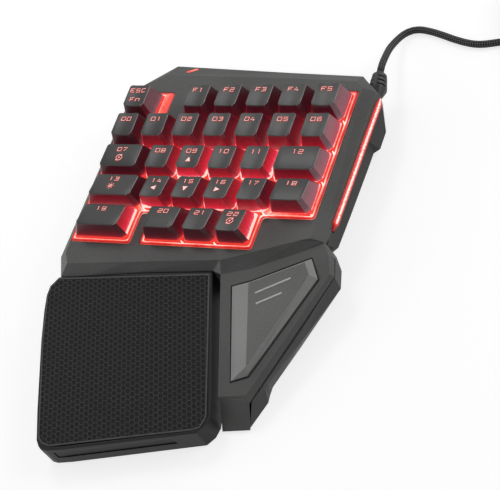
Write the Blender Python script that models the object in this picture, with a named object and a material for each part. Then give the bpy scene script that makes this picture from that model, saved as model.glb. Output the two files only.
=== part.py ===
"""One-handed gaming keypad with a palm rest, a thumb key and a braided cable.

The origin is under the middle of the case, on the desk. X runs to the right along the
key rows, Y to the back and Z up. Tables are in millimetres, which mm() turns into
metres. They are measured from the key field's back left corner, at the height of the
deck round the key field, and FIELD_CORNER puts that corner in its place.
"""
import math

import bmesh
import bpy
import numpy as np
from mathutils import Vector


def mm(values):
    """Turns a number or a nested table of numbers from millimetres into metres."""
    if isinstance(values, (int, float)):
        return values / 1000.0
    return [mm(value) for value in values]


def plan(points):
    """Turns points (x, y) or (x, y, z) of a plan into metres, spread with the pitch."""
    if isinstance(points[0], (int, float)):
        x, y, *z = mm(points)
        return [x * PLAN_SPREAD, y * PLAN_SPREAD, *z]
    return [plan(row) for row in points]


# Driving dimensions
KEY_PITCH = mm(19.05)
DECK_HEIGHT = mm(26.0)
# The plans were drawn at a pitch of 19.05 mm, and spread with the pitch
PLAN_SPREAD = KEY_PITCH / mm(19.05)
FIELD_CORNER = Vector((*plan((-72.95, 93.75)), DECK_HEIGHT))
KEY_TRAVEL = mm(3.5)
THUMB_TRAVEL = mm(1.5)
REST_TRAVEL = mm(20.0)
CABLE_RADIUS = mm(1.9)
TOUCH_GAP = mm(0.3)
OVERSHOOT = mm(5.0)

# Heights of the layers: those of the cover from the deck down, the base's from the desk up
COVER_ROOF_Z = mm(-2.7)
COVER_BOTTOM_Z = mm(-5.2)
BASE_TOP_Z = COVER_BOTTOM_Z - TOUCH_GAP
BASE_BELT_Z = mm(-14.0)
DESK_Z = -DECK_HEIGHT
BASE_BOTTOM_Z = DESK_Z + mm(1.0)
BASE_FLOOR_Z = BASE_BOTTOM_Z + mm(2.0)
FOOT_TOP_Z = DESK_Z + mm(1.2)

# Keycaps: name, left and right column of each key, in pitches, row by row from the back
KEY_ROWS = [
    [("key_esc", 0, 1), ("key_f1", 2, 3), ("key_f2", 3, 4), ("key_f3", 4, 5), ("key_f4", 5, 6),
     ("key_f5", 6, 7)],
    [("key_00", 0, 1), ("key_01", 1, 2), ("key_02", 2, 3), ("key_03", 3, 4), ("key_04", 4, 5),
     ("key_05", 5, 6), ("key_06", 6, 7)],
    [("key_07", 0, 1.5), ("key_08", 1.5, 2.5), ("key_09", 2.5, 3.5), ("key_10", 3.5, 4.5),
     ("key_11", 4.5, 5.5), ("key_12", 5.5, 7)],
    [("key_13", 0, 1.75), ("key_14", 1.75, 2.75), ("key_15", 2.75, 3.75), ("key_16", 3.75, 4.75),
     ("key_17", 4.75, 5.75), ("key_18", 5.75, 7)],
    [("key_19", 0, 1.75), ("key_20", 2.25, 3.5), ("key_21", 3.5, 4.5), ("key_22", 4.5, 5.5)],
]
# Each row's top face: inset and height of its back edge, then of its front edge
KEY_ROW_TOPS = mm([
    (1.85, 11.69, 3.00, 11.26),
    (1.84, 11.37, 2.67, 10.91),
    (2.47, 9.29, 2.21, 9.35),
    (2.66, 8.36, 2.06, 10.15),
    (2.94, 8.42, 1.97, 10.43),
])
KEY_TOP_SIDE_INSET = mm(3.1)
WIDE_LEFT_INSETS = {"key_13": mm(4.7), "key_19": mm(5.2)}
KEY_FOOT_INSET = mm(0.5)
KEY_FOOT_Z = mm(1.3)
KEY_WALL = mm(1.3)
KEY_ROOF = mm(2.2)
KEY_DISH = mm(0.6)
# Corner cuts along x and y at the foot: back left, front left, front right, back right
KEY_FOOT_CUTS = mm([(0.8, 0.8), (1.3, 2.0), (2.4, 2.4), (0.8, 0.8)])
KEY_TOP_CUTS = mm([(1.0, 1.0), (1.3, 1.6), (1.8, 1.8), (1.0, 1.0)])
STEM_RADIUS = mm(3.0)
STEM_BOTTOM_Z = mm(-7.8)

# Key field and its lit rim: the outline of the pitch cells, in pitches
FIELD_OUTLINE = [(0, 0), (0, -5), (1.75, -5), (1.75, -4), (2.25, -4), (2.25, -5), (5.5, -5),
                 (5.5, -4), (7, -4), (7, 0), (2, 0), (2, -1), (1, -1), (1, 0)]
# The lit rim is wider to the right of the Esc key
ESC_RIM_X = KEY_PITCH + mm(3.6)
RIM_INNER_OFFSET = mm(0.1)
RIM_OUTER_OFFSET = mm(1.8)
FLANGE_OFFSET = mm(2.8)
PLATE_OFFSET = mm(1.6)
BOARD_OFFSET = mm(1.4)
RIM_CORNER = mm(1.8)
LIGHT_FLOOR_Z = mm(-3.0)
LIGHT_BOTTOM_Z = mm(-5.0)
LIGHT_HOLE_RADIUS = mm(4.5)
GUIDE_TOP_Z = LIGHT_BOTTOM_Z - TOUCH_GAP
GUIDE_BOTTOM_Z = mm(-9.3)
GUIDE_HOLE_RADIUS = mm(3.35)
DOME_TOP_Z = STEM_BOTTOM_Z - KEY_TRAVEL - TOUCH_GAP
SHEET_TOP_Z = mm(-12.0)
SHEET_BOTTOM_Z = mm(-12.6)
DOME_FOOT_RADIUS = mm(4.2)
DOME_TOP_RADIUS = mm(3.0)
BOARD_TOP_Z = SHEET_BOTTOM_Z - TOUCH_GAP
BOARD_BOTTOM_Z = mm(-14.5)

# Top cover: deck edge (x, y), foot of the bevel (x, y, z), lower edge (x, y) and the edge
# of the flat underside (x, y), anticlockwise from the back left
COVER_STATIONS = plan([
    [(13.5, 14.6), (17.0, 22.8, -2.5), (17.0, 23.2), (16.5, 17.0)],
    [(-3.4, 3.3), (-5.4, 3.0, -2.0), (-5.7, 2.8), (-3.1, 2.9)],
    [(-1.6, -104.4), (-5.2, -106.2, -2.4), (-5.5, -106.4), (-3.1, -103.0)],
    [(2.3, -111.2), (-1.2, -117.2, -4.0), (-1.4, -117.4), (3.5, -109.0)],
    [(16.0, -110.0), (14.1, -115.6, -4.2), (14.1, -115.7), (16.0, -108.0)],
    [(41.0, -108.0), (40.1, -111.9, -4.6), (40.1, -112.0), (41.0, -106.0)],
    [(89.6, -104.0), (86.6, -107.4, -5.0), (86.6, -107.5), (89.0, -102.0)],
    [(91.6, -104.0), (92.2, -109.8, -4.1), (92.2, -109.6), (92.0, -102.0)],
    [(105.5, -99.3), (107.2, -105.5, -4.2), (107.0, -105.0), (105.3, -98.3)],
    [(130.6, -90.6), (130.5, -95.3, -4.1), (130.4, -95.0), (130.0, -89.0)],
    [(136.4, -89.0), (142.2, -88.6, -3.2), (143.1, -88.9), (137.5, -87.0)],
    [(136.6, 4.0), (144.0, 2.6, -2.0), (145.0, 2.9), (138.0, 2.5)],
    [(131.8, 8.3), (133.2, 13.6, -2.5), (133.4, 13.9), (132.0, 8.3)],
    [(92.4, 11.0), (89.6, 16.8, -2.5), (89.6, 17.1), (91.5, 12.5)],
])
COVER_WALL = mm(2.2)
COVER_CUT_BOTTOM_Z = mm(-9.0)

# Base: top edge, belt and bottom edge (x, y), anticlockwise from the back left
BASE_STATIONS = plan([
    [(17.0, 23.2), (17.0, 22.6), (16.0, 20.0)],
    [(-5.7, 2.8), (-5.2, 2.4), (-3.0, 1.0)],
    [(-5.5, -106.4), (-5.0, -106.2), (-3.0, -105.0)],
    [(-1.4, -117.4), (-0.8, -116.8), (0.5, -114.8)],
    [(14.1, -115.7), (14.1, -115.7), (14.1, -113.6)],
    [(40.1, -112.0), (40.1, -112.0), (40.1, -110.4)],
    [(86.6, -107.5), (86.6, -107.5), (86.6, -106.4)],
    [(92.2, -109.6), (92.2, -109.6), (92.2, -109.0)],
    [(107.0, -105.0), (107.0, -105.0), (107.0, -104.0)],
    [(130.4, -95.0), (130.4, -95.0), (128.0, -92.0)],
    [(143.1, -88.9), (144.8, -84.7), (138.5, -77.5)],
    [(143.5, -66.7), (145.7, -66.7), (139.3, -59.0)],
    [(144.1, -37.6), (146.7, -37.6), (140.3, -29.5)],
    [(144.3, -27.2), (146.9, -27.2), (140.5, -19.0)],
    [(144.4, -24.4), (149.7, -24.4), (143.4, -16.0)],
    [(144.7, -13.5), (149.8, -13.5), (143.4, -7.0)],
    [(145.0, 2.9), (143.1, 3.7), (137.5, 10.0)],
    [(133.4, 13.9), (132.5, 13.9), (127.0, 15.5)],
    [(89.6, 17.1), (89.6, 16.8), (89.0, 16.0)],
])
BASE_WALL = mm(2.4)

# Thumb module: its top falls away from MODULE_POINT along MODULE_DOWNHILL
MODULE_POINT = plan((92.0, -108.8, -4.0))
MODULE_DOWNHILL = (0.342, -0.9397)
MODULE_SLOPE = 0.121
MODULE_PLATE = mm(2.3)
# Plate of the module: edge of its top and its lower edge (x, y), anticlockwise
MODULE_STATIONS = plan([
    [(92.2, -109.8), (92.0, -109.8)],
    [(110.1, -172.1), (110.3, -173.4)],
    [(124.1, -169.8), (125.6, -172.6)],
    [(124.4, -168.4), (126.3, -170.6)],
    [(149.5, -104.7), (151.2, -105.0)],
    [(146.6, -95.0), (148.6, -94.9)],
    [(142.2, -88.7), (143.4, -88.9)],
    [(130.0, -88.0), (130.0, -88.0)],
    [(96.0, -100.0), (96.0, -100.0)],
])
# Apron in front of the module: at the plate's underside and at its own lower edge
APRON_TOP = plan([(110.5, -169.2), (110.3, -173.4), (125.6, -172.6), (124.6, -169.0)])
APRON_BOTTOM = plan([(111.8, -176.4), (111.6, -184.0), (123.0, -181.6), (122.5, -176.7)])
APRON_BOTTOM_Z = BASE_BOTTOM_Z + TOUCH_GAP
# Block of the base below the plate: top, belt and bottom edge (x, y), anticlockwise
BLOCK_STATIONS = plan([
    [(92.3, -109.2), (92.3, -109.2), (92.3, -109.0)],
    [(110.4, -167.8), (111.1, -170.8), (111.8, -176.2)],
    [(125.0, -167.6), (124.4, -170.4), (122.7, -176.4)],
    [(126.7, -170.0), (126.0, -173.1), (124.3, -180.2)],
    [(127.3, -169.4), (127.9, -168.4), (129.2, -166.0)],
    [(129.9, -163.3), (129.9, -163.0), (128.8, -162.4)],
    [(131.0, -160.7), (130.6, -160.0), (128.8, -157.7)],
    [(141.6, -133.9), (141.0, -134.5), (136.1, -135.8)],
    [(151.4, -104.9), (151.6, -105.9), (146.6, -100.6)],
    [(149.3, -95.6), (149.0, -96.0), (144.5, -92.0)],
    [(143.5, -88.8), (143.9, -88.2), (139.0, -86.0)],
    [(125.0, -84.0), (125.0, -84.0), (125.0, -84.0)],
    [(98.0, -97.0), (98.0, -97.0), (98.0, -97.0)],
])
# Stations that the block's inside follows; the small corners are left solid
BLOCK_INSIDE_INDEXES = (0, 1, 2, 6, 7, 8, 10, 11, 12)
BLOCK_RAW_LIFT = mm(-1.0)
BLOCK_BELT_Z = mm(-17.0)
BLOCK_WALL = mm(2.2)

# Thumb key: edge of its skirt and edge of its raised top (x, y), anticlockwise
THUMB_EDGE = plan([(100.7, -116.0), (114.7, -163.5), (122.2, -160.3), (144.3, -108.1),
                 (137.9, -98.1), (109.8, -112.5)])
THUMB_TOP = plan([(104.8, -117.6), (115.9, -156.4), (120.4, -154.8), (139.0, -107.5),
                (135.8, -101.8), (109.6, -114.9)])
THUMB_EDGE_LIFT = mm(0.5)
THUMB_TOP_LIFT = mm(2.0)
THUMB_LIP = mm(1.5)
THUMB_LIP_TOP_LIFT = -MODULE_PLATE - TOUCH_GAP
THUMB_LIP_BOTTOM_LIFT = mm(-3.6)
THUMB_PLUNGER_RADIUS = mm(3.0)
THUMB_GAP = mm(1.0)
THUMB_CENTRE = plan((121.0, -126.0))
SWITCH_SIZE = mm(6.2)
SWITCH_HEIGHT = mm(4.0)
SWITCH_BUTTON_RADIUS = mm(1.7)
SWITCH_BUTTON = mm(1.0)

# Lights on the case
SIDE_LIGHT_ENDS = plan([(145.2, 1.0), (143.6, -80.5)])
SIDE_LIGHT_DEPTH = mm(1.2)
SIDE_LIGHT_BULGE = mm(0.2)
SIDE_LIGHT_HEIGHT = mm(1.9)
REAR_LIGHT = plan([(25.2, 17.5), (26.9, 17.1), (31.9, 19.9), (30.3, 20.3)])
REAR_LIGHT_TOPS = mm([-0.95, -0.85, -1.65, -1.75])
REAR_LIGHT_BOTTOM_Z = mm(-3.6)

# Palm rest: it turns with the module and slides along REST_SLIDE
REST_POINT = plan((80.0, -107.0, -4.5))
REST_SLOPE = 0.09
REST_SLIDE = (0.2924, -0.9563)
REST_OUTLINE = plan([
    (-1.4, -118.1), (-4.9, -123.6), (-5.0, -128.9), (-3.1, -137.4), (1.7, -154.0), (8.9, -175.4),
    (14.3, -191.0), (20.0, -206.2), (22.2, -209.0), (24.0, -210.4), (27.1, -210.7), (35.2, -209.1),
    (56.4, -204.0), (87.0, -196.1), (105.0, -191.5), (108.3, -187.1), (109.2, -182.0),
    (107.4, -174.6), (98.0, -144.4), (86.4, -108.3), (79.6, -108.8), (40.1, -112.7),
    (14.1, -116.3),
])
PAD_OUTLINE = plan([
    (-1.0, -118.8), (-4.2, -123.9), (-4.3, -129.0), (-2.4, -137.3), (2.4, -153.9), (9.6, -175.2),
    (15.0, -190.7), (20.6, -204.8), (23.7, -207.6), (28.5, -208.5), (34.6, -207.4), (55.6, -202.0),
    (86.5, -194.7), (103.1, -190.5), (106.3, -188.9), (107.9, -183.0), (105.3, -174.8),
    (95.7, -144.6), (85.6, -109.5), (40.1, -113.5),
])
REST_WALL = mm(2.5)
REST_ROOF = mm(3.5)
PAD_RECESS = mm(1.5)
PAD_CROWN = mm(0.3)
REST_PLATE = mm(1.8)
TONGUE_ROOT = plan((45.0, -112.5))
TONGUE_HALF_WIDTH = mm(22.0)
TONGUE_REACH = REST_TRAVEL + mm(14.0)
TONGUE_BASE = mm(5.0)
TONGUE_TOP_Z = (BASE_FLOOR_Z + BOARD_BOTTOM_Z) / 2
TONGUE_BOTTOM_Z = BASE_FLOOR_Z + TOUCH_GAP
TONGUE_PLAY = mm(0.5)
RAIL_WIDTH = mm(2.0)
RAIL_LENGTH = mm(22.0)
RAIL_START = mm(10.0)
GROOVE_LINE = plan([(30.0, -210.4), (92.5, -194.7)])
GROOVE_HALF_DEPTH = mm(1.4)
GROOVE_TOP_Z = mm(-14.5)
GROOVE_BOTTOM_Z = DESK_Z + mm(6.0)

# Fasteners, supports and feet
SCREWS = plan([(16.0, 8.6), (122.0, 6.2), (8.0, -101.6), (82.0, -101.4), (141.0, -94.0)])
# Height at which each screw's post ends inside the roof above it
POST_TOPS = mm([-1.4, -1.4, -1.4, -1.4, -5.5])
POST_RADIUS = mm(2.9)
POST_SPLIT_Z = mm(-12.0)
SCREW_RADIUS = mm(1.2)
SCREW_HEAD_RADIUS = mm(2.4)
SCREW_HEAD = mm(1.4)
SCREW_TOP_Z = mm(-7.5)
SCREW_SEAT_Z = BASE_BOTTOM_Z + mm(1.8)
BOARD_POSTS = plan([(12.0, -30.0), (120.0, -30.0), (10.0, -62.0), (98.0, -86.0)])
BOARD_POST_RADIUS = mm(2.5)
BASE_FEET = plan([(8.0, -8.0), (131.0, -8.0), (8.0, -88.0), (118.0, -145.0)])
REST_FEET = plan([(30.0, -195.0), (92.0, -180.0)])
FOOT_RADIUS = mm(6.0)

# Strain relief: where its axis passes the wall, and its radius along that axis
RELIEF_POINT = plan((139.9, 8.0, -10.0))
RELIEF_DIRECTION = (-0.161, 0.987, 0.0)
RELIEF_HOLE_RADIUS = mm(5.3)
RELIEF_HOLE_ENDS = mm((-4.3, 9.0))
RELIEF_PROFILE = mm([(-4.0, 5.0), (3.6, 5.0), (4.0, 4.2), (5.0, 4.2), (5.4, 4.8), (7.0, 4.7),
                     (7.4, 3.9), (8.4, 3.9), (8.8, 4.5), (10.4, 4.4), (10.8, 3.6), (11.6, 3.6),
                     (12.0, 4.1), (14.5, 3.8)])

# Cable: route of its free stretch, with the share of the drop from the relief to the desk
# that each point has made, then a round coil that carries the plug
CABLE_ROUTE = plan([(137.5, 22.7), (136.6, 28.0), (135.3, 36.5), (134.2, 46.6), (135.4, 57.3),
                    (139.0, 62.5), (144.1, 63.8), (151.4, 62.1), (159.0, 59.2), (165.9, 56.3),
                    (174.5, 53.4), (182.0, 52.4), (191.6, 53.6), (202.0, 54.9), (211.0, 55.2)])
CABLE_DROPS = [0.0, 0.057, 0.256, 0.541, 0.847, 0.961, 0.996, 1.0, 1.0, 1.0, 1.0, 1.0, 1.0,
               0.968, 0.925]
CABLE_LYING_Z = DESK_Z + CABLE_RADIUS + mm(0.05)
CABLE_STEP = mm(9.0)
COIL_CENTRE = plan((228.0, 83.5))
COIL_MEAN_RADIUS = mm(22.0)
COIL_PITCH = mm(4.35)
COIL_LAYERS = 4
COIL_TURNS_PER_LAYER = 3
COIL_POINTS_PER_TURN = 24
COIL_CLIMB_TURNS = 0.5
COIL_LIFT = mm(1.3)
TAIL_RADIUS = mm(15.0)
TAIL_RISE_LEAD = mm(15.0)
TAIL_POINTS = 7
TIE_HALF_WIDTH = mm(4.0)
TIE_THICKNESS = mm(0.8)
TIE_SLACK = mm(0.6)
PLUG_BODY_SIZE = mm((16.0, 26.0, 9.0))
PLUG_SHELL_SIZE = mm((12.0, 18.0, 4.5))
PLUG_SHELL_WALL = mm(0.4)
PLUG_POCKET = mm(12.0)
PLUG_CHAMFER = mm(1.5)

CIRCLE_COUNT = 12
OCTAGON_COUNT = 8

MATERIALS = {
    "case_plastic": ((0.075, 0.075, 0.074), 0.55, 0.0),
    "base_plastic": ((0.05, 0.05, 0.05), 0.6, 0.0),
    "keycap_plastic": ((0.06, 0.06, 0.058), 0.5, 0.0),
    "red_light": ((0.9, 0.03, 0.05), 0.4, 0.0),
    "thumb_plastic": ((0.11, 0.11, 0.108), 0.4, 0.0),
    "pad_rubber": ((0.013, 0.013, 0.012), 0.8, 0.0),
    "foot_rubber": ((0.02, 0.02, 0.02), 0.9, 0.0),
    "dome_rubber": ((0.5, 0.5, 0.48), 0.7, 0.0),
    "board": ((0.02, 0.16, 0.06), 0.5, 0.0),
    "cable_braid": ((0.04, 0.04, 0.042), 0.8, 0.0),
    "steel": ((0.6, 0.6, 0.6), 0.35, 1.0),
}


def material(name):
    """Returns the named material, making it on first use."""
    made = bpy.data.materials.get(name)
    if made:
        return made
    colour, roughness, metallic = MATERIALS[name]
    made = bpy.data.materials.new(name)
    made.use_nodes = True
    shader = made.node_tree.nodes["Principled BSDF"]
    shader.inputs["Base Color"].default_value = (*colour, 1.0)
    shader.inputs["Roughness"].default_value = roughness
    shader.inputs["Metallic"].default_value = metallic
    return made


def make_object(name, bm, material_name="case_plastic", origin=(0.0, 0.0, 0.0)):
    """Turns a bmesh measured from the field's corner into an object with that origin."""
    bmesh.ops.recalc_face_normals(bm, faces=bm.faces)
    bmesh.ops.translate(bm, verts=bm.verts, vec=-Vector(origin))
    mesh = bpy.data.meshes.new(name)
    bm.to_mesh(mesh)
    bm.free()
    made = bpy.data.objects.new(name, mesh)
    made.location = Vector(origin) + FIELD_CORNER
    made.data.materials.append(material(material_name))
    bpy.context.collection.objects.link(made)
    return made


def finish(made, name, material_name):
    """Names a combined solid and gives it its own material."""
    made.name = name
    made.data.name = name
    made.data.materials.clear()
    made.data.materials.append(material(material_name))
    return made


def at_height(outline, z):
    """Gives every point of a flat outline the height z."""
    return [(point[0], point[1], z) for point in outline]


def add_ring(bm, points):
    return [bm.verts.new(point) for point in points]


def bridge(bm, lower, upper):
    """Joins two rings of equally many points with a band of faces."""
    for index in range(len(lower)):
        following = (index + 1) % len(lower)
        bm.faces.new((lower[index], lower[following], upper[following], upper[index]))


def fill_with_holes(bm, outline, holes):
    """Fills the flat area between an outline and the loops inside it."""
    edges = []
    for loop in [outline, *holes]:
        for index, vertex in enumerate(loop):
            pair = (vertex, loop[(index + 1) % len(loop)])
            edges.append(bm.edges.get(pair) or bm.edges.new(pair))
    bmesh.ops.triangle_fill(bm, use_beauty=True, use_dissolve=False, edges=edges)


def solid(rings, name="tool", material_name="case_plastic", origin=(0.0, 0.0, 0.0)):
    """Makes a closed solid through a stack of rings, from the bottom to the top."""
    bm = bmesh.new()
    loops = [add_ring(bm, ring) for ring in rings]
    for lower, upper in zip(loops, loops[1:]):
        bridge(bm, lower, upper)
    bm.faces.new(loops[0])
    bm.faces.new(loops[-1])
    return make_object(name, bm, material_name, origin)


def prism(outline, bottom_z, top_z, name="tool", material_name="case_plastic"):
    return solid([at_height(outline, bottom_z), at_height(outline, top_z)], name, material_name)


def circle(centre, radius, count=CIRCLE_COUNT):
    """Points of a polygon round a centre, with flats towards the axes."""
    angles = [math.tau * (index + 0.5) / count for index in range(count)]
    return [(centre[0] + radius * math.cos(angle), centre[1] + radius * math.sin(angle))
            for angle in angles]


def offset(outline, distance):
    """Moves an anticlockwise outline outwards by a distance."""
    moved = []
    for index, point in enumerate(outline):
        here = Vector(point[:2])
        before = (here - Vector(outline[index - 1][:2])).normalized()
        after = (Vector(outline[(index + 1) % len(outline)][:2]) - here).normalized()
        normal_before = Vector((before.y, -before.x))
        normal_after = Vector((after.y, -after.x))
        shift = (normal_before + normal_after) / (1.0 + normal_before.dot(normal_after))
        moved.append(tuple(here + shift * distance))
    return moved


def rounded(outline, radius):
    """Replaces each corner of an outline with three points on a curve."""
    points = []
    for index, point in enumerate(outline):
        corner = Vector(point)
        start = corner + (Vector(outline[index - 1]) - corner).normalized() * radius
        end = corner + (Vector(outline[(index + 1) % len(outline)]) - corner).normalized() * radius
        middle = corner / 2 + (start + end) / 4
        points.extend([tuple(start), tuple(middle), tuple(end)])
    return points


def strip_along(start, direction, first, last, half_width):
    """Rectangle along a direction, from first to last beyond start, anticlockwise."""
    along = Vector(direction).normalized()
    across = Vector((along.y, -along.x)) * half_width
    near = Vector(start) + along * first
    far = Vector(start) + along * last
    return [tuple(near - across), tuple(near + across), tuple(far + across), tuple(far - across)]


def combine(target, tool, operation):
    """Applies a Boolean with a tool to a target and removes the tool."""
    modifier = target.modifiers.new("combine", "BOOLEAN")
    modifier.operation = operation
    modifier.solver = "EXACT"
    modifier.object = tool
    depsgraph = bpy.context.evaluated_depsgraph_get()
    mesh = bpy.data.meshes.new_from_object(target.evaluated_get(depsgraph))
    target.modifiers.clear()
    target.data = mesh
    bpy.data.objects.remove(tool)


def add(target, *tools):
    for tool in tools:
        combine(target, tool, "UNION")


def cut(target, *tools):
    for tool in tools:
        combine(target, tool, "DIFFERENCE")


def sloped_height(point, origin, downhill, slope, lift):
    """Height at a point of the plane that falls from origin along downhill, plus lift."""
    run = (point[0] - origin[0]) * downhill[0] + (point[1] - origin[1]) * downhill[1]
    return origin[2] - slope * run + lift


def on_module(outline, lift):
    """Lays an outline on the plane of the module's top, raised by lift."""
    return [(x, y, sloped_height((x, y), MODULE_POINT, MODULE_DOWNHILL, MODULE_SLOPE, lift))
            for x, y in outline]


def on_rest(outline, lift):
    """Lays an outline on the plane of the palm rest's top, raised by lift."""
    return [(x, y, sloped_height((x, y), REST_POINT, MODULE_DOWNHILL, REST_SLOPE, lift))
            for x, y in outline]


def column(stations, index):
    return [station[index] for station in stations]


def blend_outlines(first, second, share):
    """Outline between two outlines of equally many points."""
    return [tuple(Vector(a).lerp(Vector(b), share)) for a, b in zip(first, second)]


def field_outline(esc_edge=KEY_PITCH):
    """Outline of the key field, with the Esc key's right edge at esc_edge."""
    points = [(x * KEY_PITCH, y * KEY_PITCH) for x, y in FIELD_OUTLINE]
    return points[:-2] + [(esc_edge, points[-2][1]), (esc_edge, points[-1][1])]


def key_cells():
    """Yields name, row number and the left, right, back and front edge of each key."""
    for row, keys in enumerate(KEY_ROWS):
        for name, left, right in keys:
            yield (name, row, left * KEY_PITCH, right * KEY_PITCH, -row * KEY_PITCH,
                   -(row + 1) * KEY_PITCH)


def key_centres():
    return [((left + right) / 2, (back + front) / 2)
            for _, _, left, right, back, front in key_cells()]


# Keycaps

def cap_ring(left, right, back, front, back_z, front_z, cuts):
    """Eight points round a cap: a rectangle with its corners cut off."""
    back_left, front_left, front_right, back_right = cuts
    flat = [(left + back_left[0], back), (left, back - back_left[1]),
            (left, front + front_left[1]), (left + front_left[0], front),
            (right - front_right[0], front), (right, front + front_right[1]),
            (right, back - back_right[1]), (right - back_right[0], back)]
    return [(x, y, back_z + (front_z - back_z) * (back - y) / (back - front)) for x, y in flat]


def keycap(name, row, left, right, back, front):
    back_inset, back_z, front_inset, front_z = KEY_ROW_TOPS[row]
    left_inset = WIDE_LEFT_INSETS.get(name, KEY_TOP_SIDE_INSET)
    top = cap_ring(left + left_inset, right - KEY_TOP_SIDE_INSET, back - back_inset,
                   front + front_inset, back_z, front_z, KEY_TOP_CUTS)
    foot = cap_ring(left + KEY_FOOT_INSET, right - KEY_FOOT_INSET, back - KEY_FOOT_INSET,
                    front + KEY_FOOT_INSET, KEY_FOOT_Z, KEY_FOOT_Z, KEY_FOOT_CUTS)
    inside = at_height(offset(foot, -KEY_WALL), KEY_FOOT_Z)
    roof_z = min(back_z, front_z) - KEY_ROOF
    roof = at_height(offset(top, -KEY_WALL), roof_z)
    centre = ((left + right) / 2, (back + front) / 2)
    turned = circle(centre, STEM_RADIUS, OCTAGON_COUNT)
    stem = turned[2:] + turned[:2]
    bm = bmesh.new()
    rings = [add_ring(bm, ring) for ring in
             (at_height(stem, STEM_BOTTOM_Z), at_height(stem, roof_z), roof, inside, foot)]
    for lower, upper in zip(rings, rings[1:]):
        bridge(bm, lower, upper)
    bm.faces.new(rings[0])
    top_ring = add_ring(bm, top)
    foot_ring = rings[-1]
    if right - left > KEY_PITCH + TOUCH_GAP:
        bridge(bm, foot_ring, top_ring)
        bm.faces.new(top_ring)
    else:
        middle = (top[0][0] + top[-1][0]) / 2
        dish_back = bm.verts.new((middle, top[0][1], back_z - KEY_DISH))
        dish_front = bm.verts.new((middle, top[3][1], front_z - KEY_DISH))
        for index in (0, 1, 2, 4, 5, 6):
            bm.faces.new((foot_ring[index], foot_ring[index + 1], top_ring[index + 1],
                          top_ring[index]))
        bm.faces.new((foot_ring[3], foot_ring[4], top_ring[4], dish_front, top_ring[3]))
        bm.faces.new((foot_ring[7], foot_ring[0], top_ring[0], dish_back, top_ring[7]))
        bm.faces.new((*top_ring[:4], dish_front, dish_back))
        bm.faces.new((dish_back, dish_front, *top_ring[4:]))
    return make_object(name, bm, "keycap_plastic", (*centre, 0.0))


# Key field below the caps

def light_guide():
    """Clear red tray: floor with holes for the stems and the lit rim round the field."""
    lit = field_outline(ESC_RIM_X)
    flange = rounded(offset(lit, FLANGE_OFFSET), RIM_CORNER)
    outer = rounded(offset(lit, RIM_OUTER_OFFSET), RIM_CORNER)
    inner = rounded(offset(field_outline(), RIM_INNER_OFFSET), RIM_CORNER)
    bm = bmesh.new()
    rings = [add_ring(bm, ring) for ring in (
        at_height(flange, LIGHT_BOTTOM_Z), at_height(flange, LIGHT_FLOOR_Z),
        at_height(outer, LIGHT_FLOOR_Z), at_height(outer, 0.0), at_height(inner, 0.0),
        at_height(inner, LIGHT_FLOOR_Z))]
    for lower, upper in zip(rings, rings[1:]):
        bridge(bm, lower, upper)
    low_holes = []
    high_holes = []
    for centre in key_centres():
        hole = circle(centre, LIGHT_HOLE_RADIUS, OCTAGON_COUNT)
        low_holes.append(add_ring(bm, at_height(hole, LIGHT_BOTTOM_Z)))
        high_holes.append(add_ring(bm, at_height(hole, LIGHT_FLOOR_Z)))
        bridge(bm, low_holes[-1], high_holes[-1])
    fill_with_holes(bm, rings[0], low_holes)
    fill_with_holes(bm, rings[-1], high_holes)
    return make_object("light_guide", bm, "red_light")


def guide_plate():
    """Black plate whose holes guide the key stems."""
    outline = offset(field_outline(ESC_RIM_X), PLATE_OFFSET)
    bm = bmesh.new()
    loops = []
    for z in (GUIDE_BOTTOM_Z, GUIDE_TOP_Z):
        edge = add_ring(bm, at_height(outline, z))
        holes = [add_ring(bm, at_height(circle(centre, GUIDE_HOLE_RADIUS, OCTAGON_COUNT), z))
                 for centre in key_centres()]
        fill_with_holes(bm, edge, holes)
        loops.append([edge, *holes])
    for lower, upper in zip(*loops):
        bridge(bm, lower, upper)
    return make_object("guide_plate", bm, "base_plastic")


def dome_sheet():
    """Rubber sheet, its domes drawn at the height that a pressed key leaves them."""
    outline = offset(field_outline(ESC_RIM_X), BOARD_OFFSET)
    bm = bmesh.new()
    low = add_ring(bm, at_height(outline, SHEET_BOTTOM_Z))
    high = add_ring(bm, at_height(outline, SHEET_TOP_Z))
    bm.faces.new(low)
    bridge(bm, low, high)
    feet = []
    for centre in key_centres():
        foot = add_ring(bm, at_height(circle(centre, DOME_FOOT_RADIUS, OCTAGON_COUNT),
                                      SHEET_TOP_Z))
        crown = add_ring(bm, at_height(circle(centre, DOME_TOP_RADIUS, OCTAGON_COUNT),
                                       DOME_TOP_Z))
        bridge(bm, foot, crown)
        bm.faces.new(crown)
        feet.append(foot)
    fill_with_holes(bm, high, feet)
    return make_object("dome_sheet", bm, "dome_rubber")


# Case

def cover_opening():
    """Tool for the opening of the cover round the lit rim."""
    outline = rounded(offset(field_outline(ESC_RIM_X), RIM_OUTER_OFFSET + TOUCH_GAP), RIM_CORNER)
    return prism(outline, COVER_CUT_BOTTOM_Z, OVERSHOOT)


def relief_hole():
    """Tool along the strain relief's axis."""
    return tube_profile([(end, RELIEF_HOLE_RADIUS) for end in RELIEF_HOLE_ENDS], "tool",
                        "case_plastic")


def tube_profile(profile, name, material_name):
    """Solid of revolution about the strain relief's axis, through (distance, radius) pairs."""
    along = Vector(RELIEF_DIRECTION).normalized()
    across = Vector((along.y, -along.x, 0.0))
    rings = []
    for distance, radius in profile:
        centre = Vector(RELIEF_POINT) + along * distance
        ring = []
        for u, v in circle((0.0, 0.0), radius):
            ring.append(tuple(centre + across * u + Vector((0.0, 0.0, v))))
        rings.append(ring)
    return solid(rings, name, material_name)


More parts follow.
